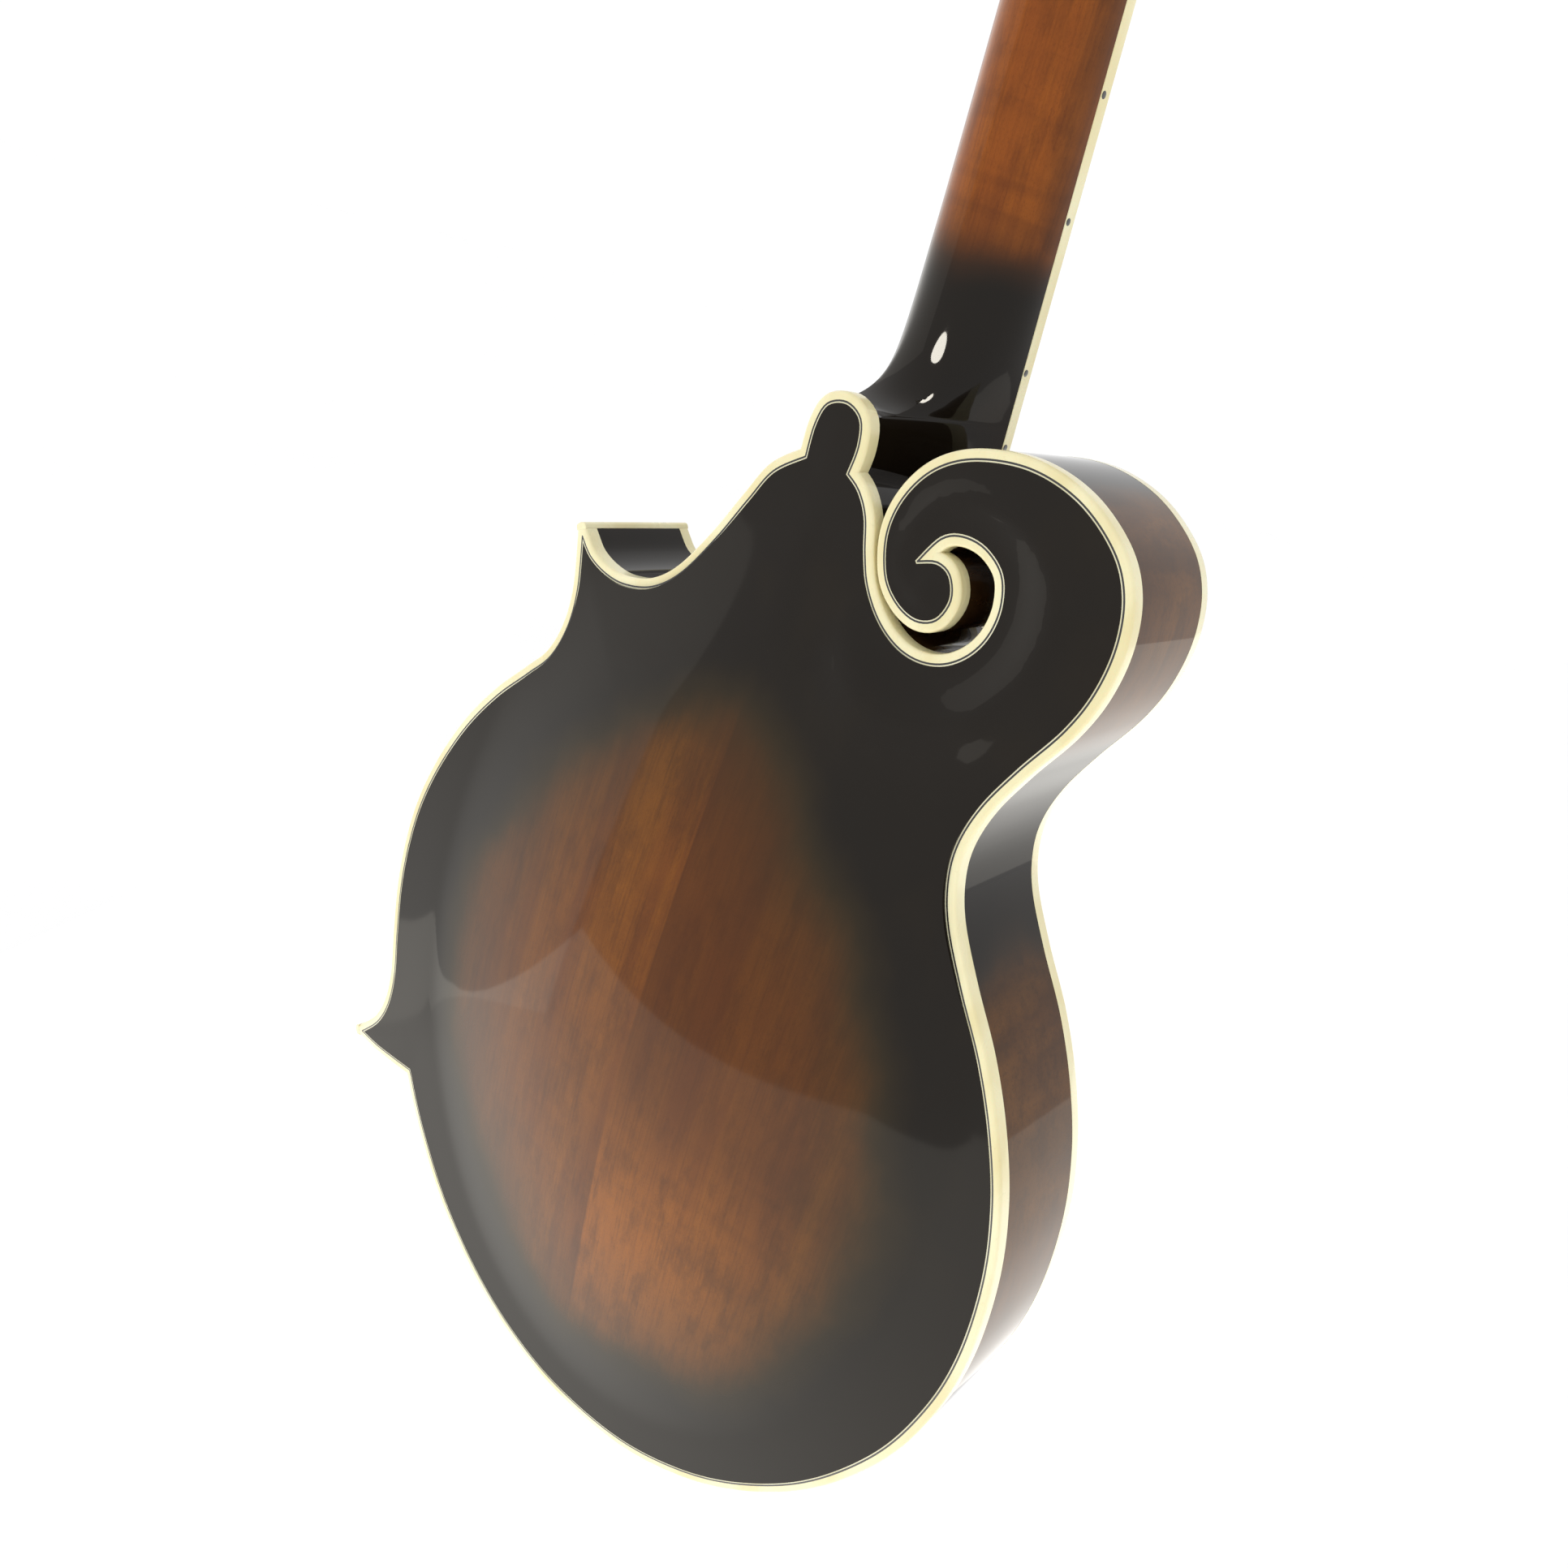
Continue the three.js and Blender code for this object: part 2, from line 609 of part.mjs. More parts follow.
// A strip behind each row of posts, with two ears that carry each worm's shaft.
function makeTunerPlate(name, side) {
  const row = tunerPlaces().filter((tuner) => tuner.side === side);
  const plateBack = PLATE_Y + TUNER_PLATE;
  const low = FIRST_TUNER - WORM_OFFSET - 6;
  const high = FIRST_TUNER + TUNER_PITCH * (TUNER_COUNT - 1) + 8;
  const strip = sideBox(side, TUNER_X - 7, TUNER_X + 8, PLATE_Y, plateBack, low, high);
  let solid = solidFrom(strip);
  for (const { x, z } of row) {
    const hole = slab(ringPoints(x, z, POST_RADIUS + GLUE_GAP, 8), plateBack + 1, TUNER_PLATE + 2);
    solid = solid.subtract(solidFrom(hole));
    const wormZ = z - WORM_OFFSET;
    const from = wormZ - EAR_HALF_WIDTH;
    const to = wormZ + EAR_HALF_WIDTH;
    for (const inner of [TUNER_X - 6, TUNER_X + 4.5]) {
      const outer = inner + EAR_THICKNESS;
      const ear = sideBox(side, inner, outer, plateBack - 0.6, WORM_Y + 2.4, from, to);
      solid = solid.add(solidFrom(ear));
    }
    const boreRadius = SHAFT_RADIUS + GLUE_GAP;
    const bore = new THREE.CylinderGeometry(boreRadius, boreRadius, 30, 8);
    bore.rotateZ(Math.PI / 2).translate(side * (TUNER_X + 2), WORM_Y, wormZ);
    solid = solid.subtract(solidFrom(bore));
  }
  place(name, geometryFrom(solid), nickel, headGroup);
}

// A knob, its shaft and the worm between the ears, turned about x. The knob is flattened.
function makeTunerKnob(name, side, z) {
  const wormStart = TUNER_X - 4.2;
  const wormEnd = TUNER_X + 4.2;
  const profile = points(
    [0, TUNER_X - 7], [SHAFT_RADIUS, TUNER_X - 7], [SHAFT_RADIUS, wormStart],
    [WORM_RADIUS, wormStart], [WORM_RADIUS, wormEnd], [SHAFT_RADIUS, wormEnd],
    [SHAFT_RADIUS, KNOB_START], [6, KNOB_START + 1.5], [7, KNOB_START + 6],
    [6.2, KNOB_START + 12], [3.4, KNOB_START + KNOB_LENGTH], [0, KNOB_START + KNOB_LENGTH],
  );
  const knob = new THREE.LatheGeometry(profile, 8);
  const position = knob.attributes.position;
  for (let i = 0; i < position.count; i += 1) {
    const flat = position.getY(i) > KNOB_START + 1 ? 0.55 : 1;
    position.setX(i, position.getX(i) * flat);
  }
  knob.rotateZ(side * -Math.PI / 2);
  place(name, knob.translate(0, WORM_Y, z - WORM_OFFSET), pearl, headGroup);
}

// A string post that runs through the headstock to the gear behind it.
function makeTunerPost(name, x, z) {
  const neckRadius = POST_RADIUS - 0.9;
  const topRadius = POST_RADIUS - 0.4;
  const gearBack = GEAR_Y + GEAR_THICKNESS;
  const profile = points(
    [0, -POST_HEIGHT], [topRadius, -POST_HEIGHT], [topRadius, -7], [neckRadius, -5.5],
    [POST_RADIUS, -3], [POST_RADIUS, GEAR_Y], [GEAR_RADIUS, GEAR_Y], [GEAR_RADIUS, gearBack],
    [0, gearBack],
  );
  place(name, new THREE.LatheGeometry(profile, 8).translate(x, 0, z), nickel, headGroup);
}

function makeTuners() {
  makeTunerPlate('tuner_plate_bass', -1);
  makeTunerPlate('tuner_plate_treble', 1);
  for (const { side, number, x, z } of tunerPlaces()) {
    const row = side < 0 ? 'bass' : 'treble';
    makeTunerPost(`tuner_post_${row}_${number}`, x, z);
    makeTunerKnob(`tuner_knob_${row}_${number}`, side, z);
  }
}

// ---------------------------------------------------------------- bridge, tailpiece, strings

const bridgeAlong = (BRIDGE_Z - JOINT_Z) / Math.cos(NECK_TILT);
const stringAtBridge = new THREE.Vector3(0, -STRING_ACTION, bridgeAlong).applyMatrix4(neckMatrix);
const SADDLE_TOP = stringAtBridge.y + GLUE_GAP + 0.5;
const SADDLE_FOOT = SADDLE_TOP + SADDLE_HEIGHT;
const WHEEL_BACK = SADDLE_FOOT + WHEEL_GAP + WHEEL_THICKNESS;
const BASE_FRONT = WHEEL_BACK + SADDLE_TRAVEL_ROOM;

// A closed section in x and y, drawn out along z.
function bar(section, from, length) {
  const shape = new THREE.Shape(section);
  const geometry = new THREE.ExtrudeGeometry(shape, { depth: length, bevelEnabled: false });
  return geometry.translate(0, 0, from);
}

function makeBridgeBase() {
  const steps = 12;
  const foot = [];
  for (let i = 0; i <= steps; i += 1) {
    const x = BRIDGE_HALF_LENGTH * ((2 * i) / steps - 1);
    foot.push(new THREE.Vector2(x, -BODY_DEPTH - topArch(x, BRIDGE_Z) - 0.5));
  }
  const tip = foot[0].y - 2.5;
  const front = points(
    [BRIDGE_HALF_LENGTH, tip], [44, BASE_FRONT], [-44, BASE_FRONT], [-BRIDGE_HALF_LENGTH, tip],
  );
  const base = bar([...foot, ...front], BRIDGE_Z - BRIDGE_WIDTH / 2, BRIDGE_WIDTH);
  place('bridge_base', base, ebony);
}

function makeBridge() {
  makeBridgeBase();
  const blade = points(
    [-50, SADDLE_TOP + 2], [-30, SADDLE_TOP], [30, SADDLE_TOP], [50, SADDLE_TOP + 2],
    [52, SADDLE_FOOT], [-52, SADDLE_FOOT],
  );
  const boreRadius = BRIDGE_POST_RADIUS + GLUE_GAP;
  const postLength = BASE_FRONT - SADDLE_FOOT + 3;
  let saddle = solidFrom(bar(blade, BRIDGE_Z - SADDLE_WIDTH / 2, SADDLE_WIDTH));
  for (const [side, word] of [[-1, 'bass'], [1, 'treble']]) {
    const x = side * WHEEL_X;
    const bore = new THREE.CylinderGeometry(boreRadius, boreRadius, 8, 12);
    saddle = saddle.subtract(solidFrom(bore.translate(x, SADDLE_FOOT - 1, BRIDGE_Z)));
    const post = new THREE.CylinderGeometry(BRIDGE_POST_RADIUS, BRIDGE_POST_RADIUS, postLength, 12);
    post.translate(x, BASE_FRONT - postLength / 2, BRIDGE_Z);
    place(`bridge_post_${word}`, post, brass);
    const hole = ringPoints(x, BRIDGE_Z, boreRadius, 12).reverse();
    const rim = ringPoints(x, BRIDGE_Z, WHEEL_RADIUS, 24);
    place(`bridge_wheel_${word}`, slab(rim, WHEEL_BACK, WHEEL_THICKNESS, [hole]), brass);
  }
  place('bridge_saddle', geometryFrom(saddle), ebony);
}

function makeTailpiece() {
  const back = TAIL_Z - BINDING_WIDTH;
  const end = back - SHEET_METAL;
  const half = TAILPIECE_HALF_WIDTH;
  const trayBack = -BODY_DEPTH - 5;
  const foot = box(-half, half, trayBack, -10, end, back);
  const tray = box(-half, half, trayBack - SHEET_METAL, trayBack, end, 48);
  const base = solidFrom(foot).add(solidFrom(tray)).subtract(endPinHole());
  place('tailpiece_base', geometryFrom(base), nickel);
  const front = -BODY_DEPTH - 16;
  const open = -BODY_DEPTH - 7;
  const outer = COVER_HALF_WIDTH;
  const inner = outer - 1.4;
  const channel = points(
    [-inner, open], [-inner, front + 1.4], [inner, front + 1.4], [inner, open],
    [outer, open], [outer, front], [-outer, front], [-outer, open],
  );
  place('tailpiece_cover', bar(channel, end, COVER_LENGTH), nickel);
}

// The strap's pin in the tail, turned about z and pointing down.
function makeEndPin() {
  const start = SHEET_METAL + BINDING_WIDTH - TAIL_Z;
  const profile = points(
    [0, -22], [END_PIN_RADIUS, -22], [END_PIN_RADIUS, start + 0.4], [6.5, start + 0.4],
    [5.6, start + 3], [5, start + 8], [7.5, start + 11], [7.5, start + 12.5], [6, start + 14],
    [0, start + 14],
  );
  const pin = new THREE.LatheGeometry(profile, 16).rotateX(-Math.PI / 2);
  place('end_pin', pin.translate(0, END_PIN_Y, 0), nickel);
}

// A polyline that a section is swept along, with one step for each straight length.
class BentWire extends THREE.Curve {
  constructor(corners) {
    super();
    this.corners = corners;
  }

  getPoint(t, target = new THREE.Vector3()) {
    const steps = this.corners.length - 1;
    const i = Math.min(Math.floor(t * steps + 1e-6), steps - 1);
    return target.lerpVectors(this.corners[i], this.corners[i + 1], t * steps - i);
  }

  getPointAt(t, target) {
    return this.getPoint(t, target);
  }

  getTangentAt(t, target = new THREE.Vector3()) {
    return target.copy(this.getTangent(t));
  }
}

const COURSES = [
  // [name, radius, tuner numbers on its side counted from the nut]
  ['g', 0.5, -1, 1], ['d', 0.4, -1, 3], ['a', 0.35, 1, 3], ['e', 0.3, 1, 1],
];

function makeStrings() {
  COURSES.forEach(([letter, radius, side, tuner], course) => {
    for (const pair of [0, 1]) {
      const lean = pair === 0 ? -1 : 1;
      const bridgeX = -18.6 + 12.4 * course + 1.5 * lean;
      const nutX = -10.5 + 7 * course + 1.2 * lean;
      const number = lean * side > 0 ? tuner : tuner + 1;
      const post = tunerPlaces().find((spot) => spot.side === side && spot.number === number);
      const hook = new THREE.Vector3(bridgeX * 0.75, -BODY_DEPTH - 9, 44);
      const saddle = new THREE.Vector3(bridgeX, stringAtBridge.y - radius, BRIDGE_Z);
      const nut = new THREE.Vector3(nutX, -2.2 - radius, nutAt + 1.5).applyMatrix4(neckMatrix);
      const wound = post.x - side * (POST_RADIUS + radius + 0.2);
      const end = new THREE.Vector3(wound, -6.4, post.z).applyMatrix4(headMatrix);
      const wire = new BentWire([hook, saddle, nut, end]);
      const shape = new THREE.Shape(ringPoints(0, 0, radius, 6));
      const sweep = new THREE.ExtrudeGeometry(shape, { steps: 3, extrudePath: wire });
      place(`string_${letter}_${pair + 1}`, sweep, steel);
    }
  });
}

// ---------------------------------------------------------------- assembly

makeBackPlate();
makeSoundboard();
makeRim();
makeBindings();
makePointProtectors();
makeBlocks();
makeLinings();
makeToneBar('tone_bar_bass', -26);
makeToneBar('tone_bar_treble', 22);
makeNeck();
makeTrussRod();
makeFingerboard();
makeHeadstockTrim();
makeTuners();
makeBridge();
makeTailpiece();
makeEndPin();
makeStrings();

export default mandolin;
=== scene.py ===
import math

import bmesh
import bpy
import numpy as np
from mathutils import Matrix, Vector
from mathutils.geometry import delaunay_2d_cdt
from mathutils.kdtree import KDTree


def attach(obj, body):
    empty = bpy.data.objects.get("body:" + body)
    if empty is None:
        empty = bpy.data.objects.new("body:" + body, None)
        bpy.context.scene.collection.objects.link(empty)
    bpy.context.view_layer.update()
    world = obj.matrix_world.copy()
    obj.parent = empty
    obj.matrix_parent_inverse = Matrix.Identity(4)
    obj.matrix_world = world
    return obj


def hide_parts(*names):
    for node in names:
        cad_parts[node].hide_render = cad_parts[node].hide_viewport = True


# A scroll-bodied mandolin with a carved sunburst back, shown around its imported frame.
# Lengths below are millimetres in a drawing frame: x across (the scroll is at -x), y from the
# soundboard (-y) to the back (+y), z from the tail up the neck. The plane of the back's edge is
# y = 0. place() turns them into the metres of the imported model, whose origin is at HANGER.

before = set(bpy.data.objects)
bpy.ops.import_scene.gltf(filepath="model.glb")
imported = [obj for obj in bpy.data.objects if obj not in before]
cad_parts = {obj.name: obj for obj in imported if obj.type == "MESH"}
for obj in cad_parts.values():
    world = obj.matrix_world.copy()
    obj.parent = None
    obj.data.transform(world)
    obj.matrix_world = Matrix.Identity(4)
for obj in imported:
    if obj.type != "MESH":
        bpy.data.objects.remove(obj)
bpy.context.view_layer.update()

MM = 0.001
HANGER = np.array((0.0, -17.0, 519.0))

SCALE_LENGTH = 352.4
BODY_DEPTH = 42.8
BINDING_WIDTH = 2.5
BINDING_HEIGHT = 4.2
RIM_THICKNESS = 2.2
PLATE_THICKNESS = 4.2
BLACK_LINE = 0.5
WHITE_LINE = 0.34
PLATE_EDGE = -(BLACK_LINE / 2 + WHITE_LINE)
BACK_ARCH = 13.0
TOP_ARCH = 12.5
ROUNDING = 0.85
EDGE_RISE = 0.9
ARCH_MIDDLE = 150
ARCH_HALF_WIDTH = 106
ARCH_UP = 165
ARCH_DOWN = 138
SCROLL_SWELL = 3.0

FRET_AT_BODY = 15
JOINT_Z = 309.8
BOARD_RISE = 13.0
NECK_TILT = math.radians(-5)
HEADSTOCK_TILT = math.radians(-15)
BOARD_THICKNESS = 4.4
BOARD_OVERHANG = 78.0
NUT_HALF_WIDTH = 14.3
BOARD_TAPER = 0.0243
BOARD_BINDING = 1.5
NUT_LENGTH = 6.0
BUTTON_HALF_WIDTH = 7.4
HEEL_BACK = -4.25

OVERLAY_THICKNESS = 2.2
HEADSTOCK_THICKNESS = 12.3
HEADSTOCK_BINDING = 1.8
TUNER_PITCH = 23.4
FIRST_TUNER = 50.0
TUNER_X = 20.0
TUNER_COUNT = 4
TUNER_PLATE = 1.2
POST_HEIGHT = 12.0
GEAR_RADIUS = 5.2
GEAR_THICKNESS = 3.0
GEAR_TEETH = 14
WORM_RADIUS = 2.2
WORM_OFFSET = 8.0
SHAFT_RADIUS = 1.5
KNOB_START = 42.0
KNOB_FLATNESS = 0.55
GLUE_GAP = 0.3
HEAD_BACK = OVERLAY_THICKNESS + GLUE_GAP + HEADSTOCK_THICKNESS
PLATE_Y = HEAD_BACK + GLUE_GAP
WORM_Y = PLATE_Y + TUNER_PLATE + GLUE_GAP + WORM_RADIUS
GEAR_Y = WORM_Y - GEAR_THICKNESS / 2

BRIDGE_Z = 160.0
SADDLE_HEIGHT = 7.0
STRING_ACTION = 2.6
WHEEL_X = 36.0
WHEEL_RADIUS = 6.5
WHEEL_THICKNESS = 2.5
WHEEL_GAP = 0.4
SADDLE_TRAVEL_ROOM = 1.6

TAIL_Z = -1.3
TAIL_BACK = TAIL_Z - BINDING_WIDTH
TAIL_OUT = TAIL_BACK - 1.5
END_PIN_Y = -24.0
HOOK_SPREAD = 0.75
WINDING_Y = -6.6
WINDING_TURNS = 3.25
# Each course's letter, the radius of its strings, their side and the first of their two tuners.
COURSES = (("g", 0.5, -1, 1), ("d", 0.4, -1, 3), ("a", 0.25, 1, 3), ("e", 0.2, 1, 1))


def string_places(first, pitch, lean):
    """Where the eight strings stand across the neck, pair by pair."""
    return [first + pitch * course + lean * side for course in range(4) for side in (-1, 1)]


NUT_PLACES = string_places(-10.5, 7, 1.2)
BRIDGE_PLACES = string_places(-18.6, 12.4, 1.5)

# These are in metres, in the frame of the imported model.
CAMERA_PLACE = (-0.19464, 0.27706, -0.12724)
CAMERA_TURN = math.radians(209.9)
CAMERA_RISE = math.radians(21.07)
CAMERA_ROLL = math.radians(19.2)
CAMERA_LENS = 29.43
CAMERA_SHIFT = (-0.0727, -0.0300)
FLOOR_LEVEL = -0.95
FLOOR_REACH = 6.0
PANEL_LEVEL = -0.93
GLINT_HEIGHT = 0.5
GLINT_BRIGHTNESS = 40
SEAM_BLUR = 0.0004
WORLD_BRIGHTNESS = 1.04

# ---------------------------------------------------------------- frames


def fret_distance(fret):
    return SCALE_LENGTH * (1 - 2 ** (-fret / 12))


NUT_AT = fret_distance(FRET_AT_BODY)


def turned(points, angle):
    p = np.asarray(points, float)
    c, s = math.cos(angle), math.sin(angle)
    return np.stack([p[:, 0], p[:, 1] * c - p[:, 2] * s, p[:, 1] * s + p[:, 2] * c], 1)


def neck(points):
    """From the neck's own frame, which lies on the fingerboard's face at the body joint."""
    return turned(points, NECK_TILT) + (0, -(BODY_DEPTH + BOARD_RISE), JOINT_Z)


def head(points):
    """From the headstock's own frame, which lies on its face at the nut."""
    return neck(turned(points, HEADSTOCK_TILT) + (0, 0, NUT_AT + NUT_LENGTH))


def same(points):
    """From the drawing frame, which needs no change."""
    return np.asarray(points, float)


# ---------------------------------------------------------------- outlines

body_edge = [
    (-34.1, 318.9), (-39.4, 320.9), (-44, 319.4), (-46.5, 314), (-44.4, 307.8), (-38.7, 305.2),
    (-31.8, 307), (-26.2, 312.2), (-23, 322), (-24.6, 332), (-30.5, 341), (-40.4, 347.1),
    (-54.8, 350.1), (-69, 348), (-81, 341.3), (-87.5, 333), (-90.3, 322), (-89.7, 310),
    (-86.2, 298.5), (-79.2, 284.6), (-73.6, 271.5), (-71.2, 259.7), (-72.3, 249.5),
    (-76.8, 238.8), (-86.3, 225.6), (-98.1, 211), (-108.1, 195.1), (-116.3, 177.4),
    (-121.9, 157.1), (-124.2, 132.9), (-122, 110.3), (-114.6, 85), (-100.2, 58.3),
    (-82.5, 37.2), (-61.8, 20.1), (-36, 7), (-9, 1.3), (16, 1.8), (43, 9.5), (69.2, 25),
    (90, 45.2), (102.8, 62.2),
]
lower_point = [(102.8, 62.2), (113, 60.6), (123, 59.3), (132.5, 59.2)]
treble_side = [
    (132.5, 59.2), (125, 69), (121.3, 80), (121.2, 93), (124.2, 109), (127, 128), (127.2, 146),
    (125, 163), (119.5, 181), (110.7, 200), (99.8, 216.5), (88.4, 229.8), (80.4, 239.6),
    (76.2, 251.3), (75.7, 264), (78.7, 279.5),
]
cutaway = [
    (78.7, 279.5), (73.5, 275.3), (65.7, 273.1), (57.2, 273.4), (47, 277.2), (38, 285.3),
    (29.2, 299.1), (22, 313), (16.5, 322.9), (7.7, 330.1),
]
button = [
    (7.7, 330.1), (7.8, 338.5), (5.8, 344.6), (0, 346.9), (-5.5, 344.4), (-7.3, 338),
    (-6.7, 330.8),
]
slot_side = [
    (-6.7, 330.8), (-11.3, 328.2), (-15.5, 323), (-18.7, 314.6), (-22.4, 307.4), (-28.6, 301),
    (-36, 297.2), (-43.5, 296.6), (-50.5, 299), (-56, 304), (-59.2, 310.5), (-59.7, 318),
    (-57, 325), (-50.7, 328.9), (-43.8, 329.2), (-38.4, 326.4), (-34.1, 318.9),
]
no_button = [(7.7, 330.1), (-6.7, 330.8)]
head_edge = [
    (14.3, 0), (17, 12), (29, 22), (41, 27), (43.5, 34), (36.5, 42), (32.5, 56), (31, 78),
    (32, 100), (36, 120), (44, 132), (50, 139), (43, 146), (30, 147), (20, 150), (13, 158),
    (7, 166), (-4, 171), (-14, 167), (-17, 158), (-24, 152), (-33, 154), (-43, 151), (-48, 142),
    (-44, 132), (-37, 122), (-32, 104), (-31, 80), (-32.5, 56), (-36.5, 42), (-43.5, 34),
    (-41, 27), (-29, 22), (-17, 12), (-14.3, 0),
]
head_foot = [(-14.3, 0), (14.3, 0)]


def smooth(points, step=1.3):
    """A curve through the points, as short straight steps."""
    p = np.array(points, float)
    out = []
    for i in range(len(p) - 1):
        a, b, c, d = p[max(i - 1, 0)], p[i], p[i + 1], p[min(i + 2, len(p) - 1)]
        count = max(1, round(np.linalg.norm(c - b) / step))
        t = np.arange(count)[:, None] / count
        out.append(0.5 * (2 * b + (c - a) * t + (2 * a - 5 * b + 4 * c - d) * t**2
                          + (3 * b - a - 3 * c + d) * t**3))
    out.append(p[-1:])
    return np.concatenate(out)


def unit(v):
    """A vector, or each row of several, brought to length 1."""
    return v / (np.linalg.norm(v) if v.ndim == 1 else np.linalg.norm(v, axis=1)[:, None])


def moved(line, distance):
    """A line moved sideways, away from the inside of an outline that runs anticlockwise."""
    step = unit(np.diff(line, axis=0))
    along = unit(np.vstack([step[:1], step[:-1] + step[1:], step[-1:]]))
    return line + distance * np.stack([along[:, 1], -along[:, 0]], 1)


def cross(a, b):
    """The cross product of vectors in a plane."""
    return a[..., 0] * b[..., 1] - a[..., 1] * b[..., 0]


def trimmed(first, second):
    """Two moved lines cut where they cross past a corner, or None."""
    start = (len(first) - 2) // 2
    stop = (len(second) - 2) // 2 + 1
    a = first[start:-1, None]
    ab = first[start + 1:, None] - a
    c = second[None, :stop]
    cd = second[None, 1:stop + 1] - c
    bottom = cross(ab, cd)
    bottom = np.where(np.abs(bottom) < 1e-12, np.nan, bottom)
    s = cross(c - a, cd) / bottom
    t = cross(c - a, ab) / bottom
    hits = np.argwhere((s >= 0) & (s <= 1) & (t >= 0) & (t <= 1))
    if not len(hits):
        return None
    i = hits[:, 0].max()
    j = hits[hits[:, 0] == i, 1].min()
    meeting = a[i, 0] + s[i, j] * ab[i, 0]
    return np.vstack([first[:start + i + 1], meeting]), np.vstack([meeting, second[j + 1:]])


def joined(first, second, distance):
    """Two moved lines that part at a corner get a mitre, or a square end on a sharp point."""
    ahead = unit(first[-1] - first[-2])
    behind = unit(second[0] - second[1])
    turn = math.acos(max(-1.0, min(1.0, -float(ahead @ behind))))
    sharp = turn > math.pi / 2
    reach = abs(distance) * math.tan(turn / 4 if sharp else turn / 2)
    end = first[-1] + ahead * reach
    start = second[0] + behind * reach
    if sharp:
        return np.vstack([first, end]), np.vstack([start, second])
    return np.vstack([first, end]), second


def outline(stretches, distance):
    """The closed outline at a distance outside the stretches, or inside them when negative."""
    pieces = [moved(s, distance) for s in stretches]
    for i in range(len(pieces)):
        n = (i + 1) % len(pieces)
        cut = trimmed(pieces[i], pieces[n])
        pieces[i], pieces[n] = cut if cut else joined(pieces[i], pieces[n], distance)
    line = np.concatenate(pieces)
    keep = np.linalg.norm(line - np.roll(line, 1, axis=0), axis=1) > 0.05
    return line[keep]


BACK = [smooth(s) for s in (body_edge, lower_point, treble_side, cutaway, button, slot_side)]
FRONT = [smooth(s) for s in (body_edge, lower_point, treble_side, cutaway, no_button, slot_side)]
HEAD = [smooth(head_edge), smooth(head_foot)]

# ---------------------------------------------------------------- meshes


def inside(points, loops):
    """Which points lie inside the loops taken together, by counting crossings."""
    hit = np.zeros(len(points), int)
    for loop in loops:
        a = loop
        b = np.roll(loop, -1, axis=0)
        for k in range(0, len(points), 2000):
            x = points[k:k + 2000, 0, None]
            z = points[k:k + 2000, 1, None]
            spans = (a[:, 1] > z) != (b[:, 1] > z)
            rise = np.where(b[:, 1] == a[:, 1], 1e-9, b[:, 1] - a[:, 1])
            at = a[:, 0] + (z - a[:, 1]) / rise * (b[:, 0] - a[:, 0])
            hit[k:k + 2000] += (spans & (x < at)).sum(1)
    return hit % 2 == 1


def fill(loops, spare=None, apart=False):
    """Triangles between closed loops. Returns points, triangles and each point's loop. With
    apart, every loop after the first is a hole, and holes may cross each other."""
    loops = [np.asarray(loop, float) for loop in loops]
    parts = loops + ([spare] if spare is not None else [])
    flat = np.concatenate(parts)
    owner = np.concatenate([np.full(len(p), i) for i, p in enumerate(parts)])
    edges = []
    at = 0
    for loop in loops:
        n = len(loop)
        edges += [(at + i, at + (i + 1) % n) for i in range(n)]
        at += n
    made = delaunay_2d_cdt([Vector(p) for p in flat.tolist()], edges, [], 0, 1e-6)
    points = np.array([(v.x, v.y) for v in made[0]])
    faces = np.array([f[:3] for f in made[2]])
    of_loop = np.array([owner[o[0]] if o else -1 for o in made[3]])
    middle = points[faces].mean(1)
    keep = inside(middle, loops[:1] if apart else loops)
    for hole in loops[1:] if apart else []:
        keep &= ~inside(middle, [hole])
    return points, faces[keep], of_loop


def place(points):
    """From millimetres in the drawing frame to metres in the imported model's."""
    return (np.asarray(points, float) - HANGER) * MM


def add_object(name, data):
    made = bpy.data.objects.new(name, data)
    bpy.context.scene.collection.objects.link(made)
    return made


def add_piece(name, mesh, finish, to=same, body="instrument", sharp=40.0, bevel=0.0,
              weld=True, burst=None):
    """A piece from points and faces, brought to the drawing frame by to(). It replaces the CAD
    node of its own name, where there is one. burst is the sunburst's value at each point."""
    points, faces = mesh
    look, slot = finish
    data = bpy.data.meshes.new(name)
    data.from_pydata(place(to(points)).tolist(), [], [tuple(int(i) for i in f) for f in faces])
    if burst is not None:
        layer = data.attributes.new("burst", "FLOAT", "POINT")
        layer.data.foreach_set("value", np.asarray(burst, np.float32))
    piece = add_object(name, data)
    work = bmesh.new()
    work.from_mesh(data)
    if weld:
        bmesh.ops.remove_doubles(work, verts=work.verts, dist=2e-6)
    bmesh.ops.recalc_face_normals(work, faces=work.faces)
    work.to_mesh(data)
    work.free()
    data.materials.append(look)
    data.polygons.foreach_set("use_smooth", [True] * len(data.polygons))
    if bevel:
        edge = piece.modifiers.new("edge", "BEVEL")
        edge.width = bevel * MM
        edge.segments = 3
        edge.limit_method = "ANGLE"
        edge.angle_limit = math.radians(35)
        edge.harden_normals = True
    data.set_sharp_from_angle(angle=math.radians(sharp))
    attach(piece, body)
    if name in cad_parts:
        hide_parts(name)
    return piece


class Solid:
    """Points and faces gathered from several simple forms."""

    def __init__(self):
        self.points = []
        self.faces = []
        self.count = 0

    def add(self, mesh, to=same):
        points, faces = mesh
        self.points.append(to(points))
        self.faces += [tuple(int(i) + self.count for i in f) for f in faces]
        self.count += len(points)

    def all(self):
        return np.concatenate(self.points), self.faces


